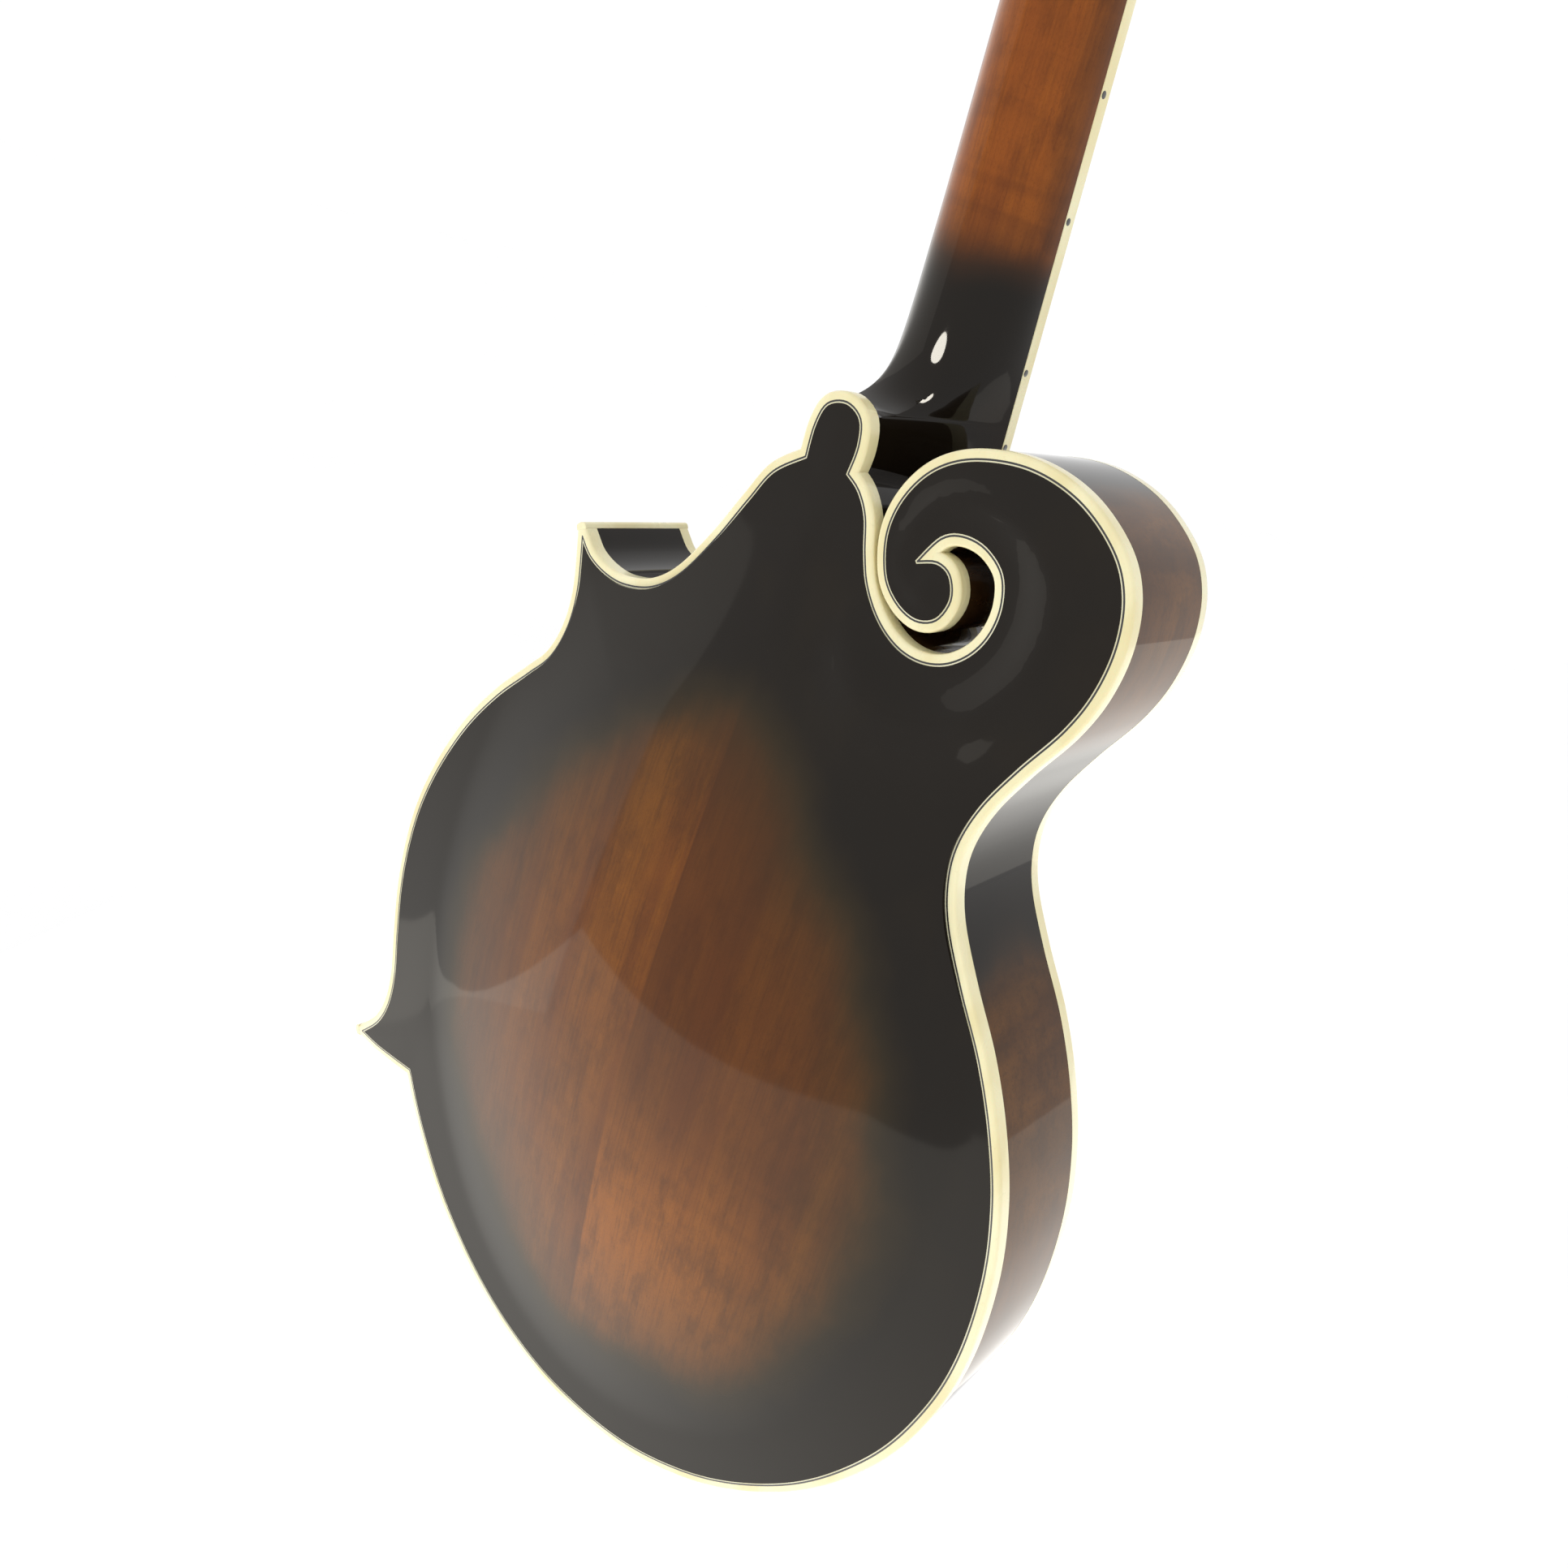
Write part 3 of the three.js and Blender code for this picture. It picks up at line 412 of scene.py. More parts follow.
def loft(sections):
    """A skin over closed sections with the same number of points, with both ends covered."""
    sections = [np.asarray(s, float) for s in sections]
    n = len(sections[0])
    faces = []
    for i in range(len(sections) - 1):
        for j in range(n):
            k = (j + 1) % n
            faces.append((i * n + j, i * n + k, (i + 1) * n + k, (i + 1) * n + j))
    faces.append(tuple(range(n))[::-1])
    faces.append(tuple(range((len(sections) - 1) * n, len(sections) * n)))
    return np.concatenate(sections), faces


def circle(x, z, radius, count=32):
    """Points around a middle; radius is one number, or one for each point."""
    angle = 2 * math.pi * np.arange(count) / count
    return np.stack([x + radius * np.cos(angle), z + radius * np.sin(angle)], 1)


def lathe(profile, sides, x=0.0, z=0.0):
    """A form turned around y, from (radius, y) pairs. Points near the axis close it."""
    return loft([np.insert(circle(x, z, radius, sides), 1, y, axis=1) for radius, y in profile])


def prism(shape, y0, y1, holes=()):
    """A flat outline in x and z, between two values of y, with walls along every edge."""
    points, faces, _ = fill([shape, *holes])
    return thick(points, faces, y0, y1)


def thick(points, faces, first, second):
    """A sheet of triangles given two heights, each one number or one for each point, and
    walls along its open edges."""
    n = len(points)
    low, high = (np.insert(points, 1, y, axis=1) for y in (first, second))
    sheet = [tuple(f) for f in faces]
    other = [(c + n, b + n, a + n) for a, b, c in sheet]
    seen = {}
    for a, b, c in sheet:
        for e in ((a, b), (b, c), (c, a)):
            seen[tuple(sorted(e))] = None if tuple(sorted(e)) in seen else e
    walls = [(b, a, a + n, b + n) for a, b in (e for e in seen.values() if e)]
    return np.concatenate([low, high]), sheet + other + walls


def band(stretches, rows):
    """A closed ring along an outline, from a closed section of (distance, y) pairs."""
    solid = Solid()
    lines = {distance: outline(stretches, distance) for distance in dict(rows)}
    for i in range(len(rows)):
        (d0, y0), (d1, y1) = rows[i], rows[(i + 1) % len(rows)]
        if d0 == d1:
            line = lines[d0]
            n = len(line)
            points = np.concatenate([np.insert(line, 1, y, axis=1) for y in (y0, y1)])
            faces = [(j, (j + 1) % n, (j + 1) % n + n, j + n) for j in range(n)]
            solid.add((points, faces))
        else:
            points, faces, owner = fill([lines[d0], lines[d1]])
            solid.add((np.insert(points, 1, np.where(owner == 0, y0, y1), axis=1), faces))
    return solid.all()


def tube(path, radius, sides):
    """A round bar along a path; its section keeps one direction in mind to avoid twisting."""
    p = np.asarray(path, float)
    ahead = unit(np.gradient(p, axis=0))
    side = np.cross(ahead[0], (0.3, 1.0, 0.1))
    sections = []
    for point, direction in zip(p, ahead):
        side = unit(side - direction * (side @ direction))
        up = np.cross(direction, side)
        angle = 2 * math.pi * np.arange(sides)[:, None] / sides
        sections.append(point + radius * (np.cos(angle) * side + np.sin(angle) * up))
    return loft(sections)


def mirrored(half, *middle):
    """Points on one side, the ones in the middle, and the mirror image of the first."""
    return [*half, *middle, *[(-x, y) for x, y in half[::-1]]]


def smoothstep(value, low, high):
    t = np.clip((value - low) / (high - low), 0, 1)
    return t * t * (3 - 2 * t)


# ---------------------------------------------------------------- materials


class Graph:
    """A material and the nodes that lead to its shader."""

    def __init__(self, name, **shader):
        self.material = bpy.data.materials.new(name)
        self.material.use_nodes = True
        self.tree = self.material.node_tree
        self.tree.nodes.clear()
        end = self.tree.nodes.new("ShaderNodeOutputMaterial")
        self.shader = self.tree.nodes.new("ShaderNodeBsdfPrincipled")
        self.tree.links.new(self.shader.outputs[0], end.inputs[0])
        for key, value in shader.items():
            self.set(key.replace("_", " "), value)
        self.spot = self.tree.nodes.new("ShaderNodeTexCoord").outputs["Object"]

    def set(self, socket, value):
        self.put(self.shader.inputs[socket], value)

    def put(self, socket, value):
        if isinstance(value, bpy.types.NodeSocket):
            self.tree.links.new(value, socket)
        elif socket.type == "RGBA" and not isinstance(value, (int, float)):
            socket.default_value = (*value, 1.0)
        else:
            socket.default_value = value

    def node(self, kind, out=0, props=(), **inputs):
        made = self.tree.nodes.new("ShaderNode" + kind)
        for key, value in dict(props).items():
            setattr(made, key, value)
        for key, value in inputs.items():
            name = key.replace("_", " ")
            socket = made.inputs[int(key[1:])] if key[1:].isdigit() else made.inputs[name]
            self.put(socket, value)
        return made.outputs[out]

    def math(self, how, a, b):
        return self.node("Math", props={"operation": how}, i0=a, i1=b)

    def noise(self, stretch, scale=1.0, detail=3.0, roughness=0.5, distortion=0.0):
        """Noise over object coordinates in metres, multiplied by a number along each axis."""
        spot = self.node("Mapping", Vector=self.spot, Scale=stretch)
        return self.node("TexNoise", Vector=spot, Scale=scale, Detail=detail,
                         Roughness=roughness, Distortion=distortion)

    def mapped(self, value, low, high, to_low=0.0, to_high=1.0):
        return self.node("MapRange", props={"interpolation_type": "SMOOTHSTEP"}, Value=value,
                         From_Min=low, From_Max=high, To_Min=to_low, To_Max=to_high)

    def mix(self, share, first, second):
        return self.node("MixRGB", Fac=share, Color1=first, Color2=second)

    def patches(self, value, low, high, first, second, share=1.0):
        """The second colour over the first, by up to a share where the value is high."""
        return self.mix(self.mapped(value, low, high, 0.0, share), first, second)

    def ramp(self, value, stops):
        made = self.tree.nodes.new("ShaderNodeValToRGB")
        points = made.color_ramp.elements
        while len(points) < len(stops):
            points.new(0.5)
        for point, (at, colour) in zip(points, stops):
            point.position = at
            point.color = (*colour, 1.0)
        self.tree.links.new(value, made.inputs[0])
        return made.outputs[0]

    def bump(self, height, strength, depth, target="Normal"):
        self.set(target, self.node("Bump", Height=height, Strength=strength,
                                   Distance=depth * MM))


def srgb(red, green, blue):
    def line(v):
        v /= 255
        return v / 12.92 if v <= 0.04045 else ((v + 0.055) / 1.055) ** 2.4
    return line(red), line(green), line(blue)


def dimmed(colour, share):
    return tuple(c * share for c in colour)


BLACK_LACQUER = srgb(23, 18, 12)
PALE_AMBER = srgb(168, 98, 20)
WARM_WHITE = (1.0, 0.95, 0.84)


def lacquer(name, amber, deep, halo, tone=0.0, flame=0.25, flame_along="z"):
    """Glossy sunburst lacquer over figured wood. The mesh's burst value runs from 0 at the
    bright middle to 1 at the black edge. tone darkens one half of a plate in two pieces."""
    g = Graph(name, Specular_IOR_Level=0.0, Coat_Weight=1.0, Coat_IOR=1.29, Coat_Roughness=0.05)
    x, _, z = g.node("SeparateXYZ", Vector=g.spot).node.outputs
    fine = g.noise((1500, 500, 22), detail=3.0, roughness=0.6)
    pores = g.noise((3600, 2600, 1300), detail=3.0, roughness=0.65)
    mottle = g.noise((150, 150, 46), detail=6.0, roughness=0.72)
    broad = g.noise((90, 30, 5), detail=4.0, roughness=0.6, distortion=0.2)
    bands = (16, 16, 130) if flame_along == "z" else (130, 16, 16)
    curl = g.noise(bands, detail=2.0, distortion=0.5)
    cloud = g.noise((30, 30, 22), detail=3.0)
    burst = g.node("Attribute", out=2, props={"attribute_name": "burst"})
    burst = g.math("ADD", burst, g.mapped(cloud, 0.3, 0.7, -0.05, 0.05))
    wood = g.patches(broad, 0.3, 0.72, amber, deep)
    if tone:
        # The seam is at x = 0. The scroll's half is darkest beside it and pale near the tail,
        # and the other half darkens a little towards its edge.
        low = g.mapped(z, -0.43, -0.33, 0.12, 1.0)
        share = g.math("MULTIPLY", low, g.mapped(x, -0.06, -0.01, tone * 0.5, tone))
        other = g.mix(share, wood, dimmed(deep, 0.55))
        other = g.mix(g.mapped(z, -0.43, -0.37, 0.5, 0.0), other, PALE_AMBER)
        wood = g.mix(g.mapped(x, -SEAM_BLUR, SEAM_BLUR), other, wood)
        wood = g.mix(g.mapped(x, 0.005, 0.06, 0.1, 0.35), wood, dimmed(deep, 0.55))
    for figure, low, high, share, depth in (
        (curl, 0.4, 0.7, flame, 0.5), (fine, 0.45, 0.72, 0.3, 0.45),
        (mottle, 0.42, 0.7, 0.5, 0.45), (pores, 0.5, 0.7, 0.3, 0.4),
    ):
        wood = g.patches(figure, low, high, wood, dimmed(deep, depth), share)
    edge = g.ramp(burst, [(0.2, (0, 0, 0)), (0.5, (0.25,) * 3), (0.67, (0.5,) * 3),
                          (0.8, (0.9,) * 3), (0.86, (1, 1, 1))])
    tinted = g.mix(edge, wood, halo)
    g.set("Base Color", g.patches(burst, 0.76, 1.0, tinted, BLACK_LACQUER))
    haze = g.noise((40, 40, 40), detail=4.0, roughness=0.6)
    g.set("Roughness", g.mapped(haze, 0.3, 0.75, 0.4, 0.6))
    ripple = g.noise((1, 1, 1), scale=90.0, detail=1.0)
    g.bump(ripple, 0.15, 0.04, "Coat Normal")
    return g.material


def plastic_look(name, base, aged, coat=0.6, glow=0.06):
    """Cream celluloid under lacquer: faint yellowing, tiny scratches, soft light inside."""
    g = Graph(name, Coat_Weight=coat, Coat_Roughness=0.05, Subsurface_Weight=glow,
              Subsurface_Scale=0.002)
    cloud = g.noise((60, 60, 24), detail=4.0)
    speck = g.noise((900, 900, 900), detail=2.0)
    colour = g.patches(cloud, 0.35, 0.7, base, aged)
    g.set("Base Color", g.patches(speck, 0.62, 0.8, colour, dimmed(aged, 0.8), 0.25))
    g.set("Roughness", g.mapped(cloud, 0.3, 0.7, 0.22, 0.34))
    g.bump(speck, 0.1, 0.02)
    return g.material


def ebony_look(name):
    g = Graph(name, Specular_IOR_Level=0.45, Coat_Weight=0.15, Coat_Roughness=0.25)
    streak = g.noise((700, 700, 16), detail=4.0, roughness=0.6)
    pores = g.noise((2800, 2800, 180), detail=2.0)
    colour = g.patches(streak, 0.4, 0.75, srgb(18, 16, 15), srgb(46, 36, 30))
    g.set("Base Color", g.patches(pores, 0.6, 0.75, colour, srgb(8, 7, 7), 0.7))
    g.set("Roughness", g.mapped(streak, 0.3, 0.7, 0.34, 0.5))
    g.bump(pores, 0.35, 0.05)
    return g.material


def raw_look(name):
    g = Graph(name, Specular_IOR_Level=0.3)
    rings = g.noise((420, 420, 9), detail=3.0)
    fibre = g.noise((2500, 2500, 90), detail=3.0)
    colour = g.patches(rings, 0.35, 0.7, srgb(214, 178, 128), srgb(186, 142, 92))
    g.set("Base Color", g.patches(fibre, 0.5, 0.8, colour, srgb(146, 106, 64), 0.5))
    g.set("Roughness", g.mapped(fibre, 0.3, 0.7, 0.62, 0.8))
    g.bump(fibre, 0.4, 0.05)
    return g.material


def metal_look(name, base, tarnish, rough=0.2):
    g = Graph(name, Metallic=1.0)
    cloud = g.noise((90, 90, 90), detail=5.0, roughness=0.6)
    rub = g.noise((2600, 260, 2600), detail=2.0)
    g.set("Base Color", g.patches(cloud, 0.45, 0.8, base, tarnish))
    g.set("Roughness", g.mapped(cloud, 0.3, 0.75, rough, rough + 0.14))
    g.bump(rub, 0.08, 0.01)
    return g.material


def pearl_look(name):
    g = Graph(name, Coat_Weight=0.7, Coat_Roughness=0.04, Roughness=0.3,
              Subsurface_Weight=0.08, Subsurface_Scale=0.002)
    swirl = g.noise((260, 260, 260), detail=3.0, distortion=3.5)
    flake = g.node("TexVoronoi", out=1, Vector=g.spot, Scale=420.0)
    tone = g.node("RGBToBW", Color=flake)
    first = g.patches(swirl, 0.35, 0.7, srgb(220, 217, 206), srgb(176, 178, 180))
    g.set("Base Color", g.patches(tone, 0.2, 0.9, first, srgb(206, 194, 178), 0.35))
    g.set("Roughness", g.mapped(swirl, 0.3, 0.7, 0.16, 0.32))
    return g.material


def wound_look(name):
    """A wrapped string: one ring of the winding every half millimetre."""
    g = Graph(name, Metallic=1.0, Roughness=0.3)
    wrap = g.node("TexWave", Vector=g.spot, Scale=640.0,
                  props={"bands_direction": "Z", "wave_type": "BANDS"})
    cloud = g.noise((120, 120, 120), detail=4.0)
    g.set("Base Color", g.patches(cloud, 0.4, 0.8, srgb(202, 160, 108), srgb(150, 110, 70)))
    g.set("Roughness", g.mapped(cloud, 0.3, 0.7, 0.22, 0.42))
    g.bump(wrap, 0.6, 0.08)
    return g.material


# A finish is a look and a slot name. raw is only for pieces kept from the CAD.
back_finish = (lacquer("lacquer_back", srgb(128, 75, 15), srgb(100, 53, 14), srgb(46, 36, 19),
                       tone=0.75, flame=0.15), "back_lacquer")
top_finish = (lacquer("lacquer_top", srgb(176, 108, 34), srgb(144, 78, 24), srgb(52, 38, 20),
                      flame=0.05), "spruce_lacquer")
rim_finish = (lacquer("lacquer_rim", srgb(100, 62, 18), srgb(76, 44, 14), srgb(40, 29, 18),
                      flame=0.5, flame_along="x"), "dark_lacquer")
neck_finish = (lacquer("lacquer_neck", srgb(150, 82, 17), srgb(124, 62, 15), srgb(56, 33, 16),
                       flame=0.3), "dark_lacquer")
cream = (plastic_look("cream_celluloid", srgb(232, 225, 184), srgb(220, 208, 156)),
         "cream_binding")
white = (plastic_look("white_purfling", srgb(226, 220, 190), srgb(206, 198, 160), coat=0.3),
         "cream_binding")
black = (plastic_look("black_purfling", srgb(16, 15, 14), srgb(26, 24, 22), glow=0.0),
         "cream_binding")
bone = (plastic_look("polished_bone", srgb(238, 232, 212), srgb(222, 212, 184), coat=0.3), "bone")
ebony = (ebony_look("ebony_wood"), "ebony")
nickel = (metal_look("polished_nickel", srgb(186, 183, 174), srgb(168, 163, 151), rough=0.12),
          "nickel")
brass = (metal_look("turned_brass", srgb(214, 172, 96), srgb(150, 112, 58)), "brass")
steel = (metal_look("plain_steel", srgb(206, 206, 206), srgb(160, 156, 150)), "steel")
pearl = (pearl_look("pearloid"), "pearl")
shell = (pearl_look("shell_inlay"), "pearl")
wound = (wound_look("wound_string"), "steel")
raw = raw_look("sanded_wood")

# ---------------------------------------------------------------- body


def arch_share(x, z):
    """How much of the arch's height is there, from 1 in the middle to 0 at its foot."""
    reach = np.where(z > ARCH_MIDDLE, ARCH_UP, ARCH_DOWN)
    share = 1 - (x / ARCH_HALF_WIDTH) ** 2 - ((z - ARCH_MIDDLE) / reach) ** 2
    return np.clip(share, 0, None) ** 1.5


def nearest(line, points):
    """The distance from each point to the nearest point of a line."""
    tree = KDTree(len(line))
    for i, (x, z) in enumerate(line):
        tree.insert((x, z, 0), i)
    tree.balance()
    return np.array([tree.find((x, z, 0))[2] for x, z in points])


def distance_to_edge(points, stretches):
    line = outline(stretches, 0.0)
    ahead = np.roll(line, -1, axis=0)
    dense = np.concatenate([line + (ahead - line) * t for t in (0, 0.25, 0.5, 0.75)])
    return nearest(dense, points)


def egg_distance(x, z, middle, half_width, down, up):
    """Distance outside an egg-shaped oval, along the ray from its middle, negative inside."""
    across = np.abs(x) / half_width
    along = np.abs(z - middle) / np.where(z > middle, up, down)
    power = np.where(z > middle, 1.3, 1.43)
    small = np.full(len(x), 0.001)
    large = np.full(len(x), 8.0)
    for _ in range(30):
        guess = (small + large) / 2
        outside = (across / guess) ** power + (along / guess) ** 2 > 1
        small = np.where(outside, guess, small)
        large = np.where(outside, large, guess)
    return np.hypot(x, z - middle) * (1 - 1 / large)


def burst_of(distance):
    """The sunburst's value from a distance outside the bright area."""
    return np.clip(0.8 + distance / 78, 0, 1)


def grid_inside(loop, spacing, clear):
    """A triangular grid of points inside a loop, clear of the loop itself."""
    low, high = loop.min(0), loop.max(0)
    xs = np.arange(low[0], high[0], spacing)
    zs = np.arange(low[1], high[1], spacing * 0.866)
    rows = [np.stack([xs + (spacing / 2 if k % 2 else 0), np.full(len(xs), z)], 1)
            for k, z in enumerate(zs)]
    points = np.concatenate(rows)
    points = points[inside(points, [loop])]
    return points[nearest(loop, points) > clear]


def make_plate(name, stretches, facing, arch, finish, burst, holes=()):
    """A carved plate whose outer face looks to the back (facing 1) or the front (-1)."""
    edge = outline(stretches, PLATE_EDGE)
    points, faces, _ = fill([edge, *holes], grid_inside(edge, 2.6, 1.2), apart=True)
    x, z = points.T
    d = np.clip(distance_to_edge(points, stretches) + PLATE_EDGE, 0, None)
    scroll = smoothstep(z, 262, 292) * (1 - smoothstep(x, -34, -14))
    swell = SCROLL_SWELL * scroll * smoothstep(d, 1, 16)
    rise = EDGE_RISE * smoothstep(d, -8, 34)
    height = (arch - EDGE_RISE) * arch_share(x, z) + rise + swell
    outer = height if facing > 0 else -BODY_DEPTH - height
    add_piece(name, thick(points, faces, outer, outer - facing * PLATE_THICKNESS), finish,
              sharp=50, weld=False, burst=np.tile(burst(x, z), 2))


def back_burst(x, z):
    return burst_of(egg_distance(x - 1, z, 130, 89, 100, 130))


def top_burst(x, z):
    return burst_of(egg_distance(x, z, 146, 62, 80, 92))


def sound_hole(side):
    upper = circle(44, 203, 4.2)
    lower = circle(70, 127, 5.4)
    a, b, c, d = (np.array(p, float) for p in ((46, 200), (56, 216), (58, 114), (68, 130)))
    t = np.linspace(0, 1, 30)[:, None]
    slit = (1 - t) ** 3 * a + 3 * (1 - t) ** 2 * t * b + 3 * (1 - t) * t**2 * c + t**3 * d
    slot = np.concatenate([moved(slit, 2), moved(slit, -2)[::-1]])
    return [hole * (side, 1) for hole in (upper, lower, slot)]


def strip_rows(inner, outer):
    return [(inner, 0.0), (outer, 0.0), (outer, -0.8), (inner, -0.8)]


def make_bindings():
    """The cream binding of both plates, with the black and the white line inside it."""
    rounded = [(BINDING_WIDTH - ROUNDING + ROUNDING * math.cos(a), ROUNDING * (math.sin(a) - 1))
               for a in (math.pi / 2, 1.18, 0.785, 0.39, 0.0)]
    cream_rows = [(BLACK_LINE / 2, 0.0), *rounded, (BINDING_WIDTH, -BINDING_HEIGHT),
                  (BLACK_LINE / 2, -BINDING_HEIGHT)]
    for side, stretches in (("back", BACK), ("top", FRONT)):
        for name, rows, finish in (
            ("binding", cream_rows, cream),
            ("black_line", strip_rows(-BLACK_LINE / 2, BLACK_LINE / 2), black),
            ("white_line", strip_rows(PLATE_EDGE, -BLACK_LINE / 2), white),
        ):
            if side == "top":
                rows = [(d, -BODY_DEPTH - y) for d, y in rows]
            add_piece(f"{side}_{name}", band(stretches, rows), finish, sharp=45)


def make_rim():
    """The sides. Their brown areas are (x, z, reach); the half-brown patch on the walls at the
    scroll's slot is painted light.
    """
    outer = BINDING_WIDTH - 0.04
    inner = BINDING_WIDTH - RIM_THICKNESS
    front = BINDING_HEIGHT - BODY_DEPTH
    mesh = band(FRONT, [(outer, -BINDING_HEIGHT), (outer, -14.0), (outer, -29.0), (outer, front),
                        (inner, front), (inner, -BINDING_HEIGHT)])
    x, y, z = mesh[0].T
    # Painted light: the walls around the slot at (-45, 313) are paled to stand in for the light
    # that reaches that recess.
    brown = 0.4 * (1 - smoothstep(np.hypot(x + 45, z - 313), 15, 24))
    for cx, cz, reach in ((-118, 150, 98), (127, 132, 84), (-88, 324, 40), (0, 0, 70)):
        away = np.hypot(x - cx, z - cz)
        brown = np.maximum(brown, 1 - smoothstep(away, reach * 0.62, reach))
    edge_dark = smoothstep(np.abs(y + BODY_DEPTH / 2), 14, 18)
    add_piece("rim_sides", mesh, rim_finish, sharp=30,
              burst=np.clip(1 - 0.8 * brown + 0.1 * edge_dark, 0, 1))


def make_point_cap(name, before, corner, after):
    """A blunt cream strip that closes a sharp point from the back to the front."""
    before, corner, after = (np.array(p, float) for p in (before, corner, after))
    away = unit(unit(corner - before) + unit(corner - after))
    across = np.array((-away[1], away[0]))
    shape = [(-2.1, -0.6), (2.1, -0.6), (2.0, 0.9), (1.3, 1.55), (0, 1.75), (-1.3, 1.55),
             (-2.0, 0.9)]
    base = corner + away * BINDING_WIDTH
    flat = [base + across * a + away * b for a, b in shape]
    add_piece(name, prism(flat, -BODY_DEPTH, 0.0), cream, bevel=0.5)


make_plate("back_plate", BACK, 1, BACK_ARCH, back_finish, back_burst)
make_plate("soundboard", FRONT, -1, TOP_ARCH, top_finish, top_burst,
           sound_hole(-1) + sound_hole(1))
make_bindings()
make_rim()
make_point_cap("upper_point_protector", treble_side[-2], treble_side[-1], cutaway[1])
make_point_cap("lower_point_protector", lower_point[-2], lower_point[-1], treble_side[1])

# ---------------------------------------------------------------- neck and fingerboard


def board_half(along):
    return NUT_HALF_WIDTH + BOARD_TAPER * (NUT_AT - along)


# Distance from the body joint, where the wood starts below the fingerboard's face and where it
# ends, and how far the section has become the heel.
neck_rows = [
    (NUT_AT + 34, 16.4, 18.6, 0), (NUT_AT + 28, 14.6, 19.6, 0), (NUT_AT + 20, 11.4, 20.4, 0),
    (NUT_AT + 12, 8.4, 20.5, 0), (NUT_AT + 6, 6.4, 20.5, 0),
    *[(along, BOARD_THICKNESS + 0.1, below, heel) for along, below, heel in (
        (NUT_AT - 4, 20.7, 0), (150, 21.2, 0), (100, 22.2, 0), (80, 23.1, 0), (66, 24.3, 0.04),
        (56, 26.5, 0.15), (49, 29.9, 0.35), (44, 34.8, 0.6), (41, 41.5, 0.85), (39.4, 50, 1),
        (30, 50, 1), (10, 50, 1), (-14, 50, 1))],
]


def neck_section(along, top, bottom, heel):
    half = board_half(along) if along < NUT_AT + 6 else NUT_HALF_WIDTH * 0.93
    angle = np.linspace(0, math.pi, 49)
    corner = 5 * math.pi / 14
    down = np.minimum(1, np.sin(angle) / math.sin(corner))
    flat = np.cos(angle) / math.cos(corner) * BUTTON_HALF_WIDTH
    slope = BUTTON_HALF_WIDTH + (half - BUTTON_HALF_WIDTH) * (1 - down) ** 1.6
    heel_x = np.where(down >= 1, flat, np.sign(np.cos(angle)) * slope)
    x = half * np.cos(angle) * (1 - heel) + heel_x * heel
    y = top + (np.sin(angle) * (1 - heel) + down * heel) * (bottom - top)
    return np.stack([x, y, np.full(len(x), along)], 1)


def make_neck():
    stations = smooth([(a, t, b, h * 40) for a, t, b, h in neck_rows], 1.6)
    sections = [neck_section(a, t, b, min(max(h / 40, 0), 1)) for a, t, b, h in stations]
    verts, faces = loft(sections)
    along = verts[:, 2].copy()
    across = np.abs(verts[:, 0]) / board_half(along)
    burst = 1 - smoothstep(along, 68, 114)
    burst = np.maximum(burst, 0.7 * smoothstep(across, 0.6, 1.0))
    burst = np.maximum(burst, smoothstep(along, NUT_AT - 32, NUT_AT))
    verts = neck(verts)
    verts[:, 1] = np.where(along < 60, np.minimum(verts[:, 1], HEEL_BACK), verts[:, 1])
    solid = Solid()
    solid.add((verts, faces))
    slab = prism(outline(HEAD, 0), OVERLAY_THICKNESS + 0.05, HEAD_BACK)
    solid.add(slab, head)
    middle = np.hypot(slab[0][:, 0] / 26, (slab[0][:, 2] - 92) / 60)
    burst = np.concatenate([burst, np.clip(smoothstep(middle, 0.2, 1.0), 0.35, 1)])
    return add_piece("neck", solid.all(), neck_finish, sharp=38, bevel=0.9, burst=burst)


def make_fingerboard():
    end = -BOARD_OVERHANG
    top_outer, end_outer = board_half(NUT_AT), board_half(end)
    top_inner, end_inner = top_outer - BOARD_BINDING, end_outer - BOARD_BINDING
    inside_end = end + BOARD_BINDING
    board = [(top_inner, NUT_AT), (-top_inner, NUT_AT), (-end_inner, inside_end),
             (end_inner, inside_end)]
    add_piece("fingerboard", prism(board, 0.0, BOARD_THICKNESS), ebony, neck)
    binding = [(top_outer, NUT_AT), (top_inner, NUT_AT), (end_inner, inside_end),
               (-end_inner, inside_end), (-top_inner, NUT_AT), (-top_outer, NUT_AT),
               (-end_outer, end), (end_outer, end)]
    add_piece("fingerboard_binding", prism(binding, 0.0, BOARD_THICKNESS), cream, neck,
              bevel=0.35)


def make_frets():
    crown = mirrored([(-0.55, 0.3), (-0.55, -0.2), (-0.42, -0.62), (-0.2, -0.86)],
                     (0.0, -0.92))
    solid = Solid()
    fret = 1
    while NUT_AT - fret_distance(fret) > 3 - BOARD_OVERHANG:
        z = NUT_AT - fret_distance(fret)
        half = board_half(z) - BOARD_BINDING + 0.3
        solid.add(loft([[(x, y * low if y < 0 else y, z + dz) for dz, y in crown]
                        for x, low in ((-half - 0.35, 0.35), (-half + 0.25, 1.0),
                                       (half - 0.25, 1.0), (half + 0.35, 0.35))]), neck)
        fret += 1
    add_piece("frets", solid.all(), nickel, sharp=50)


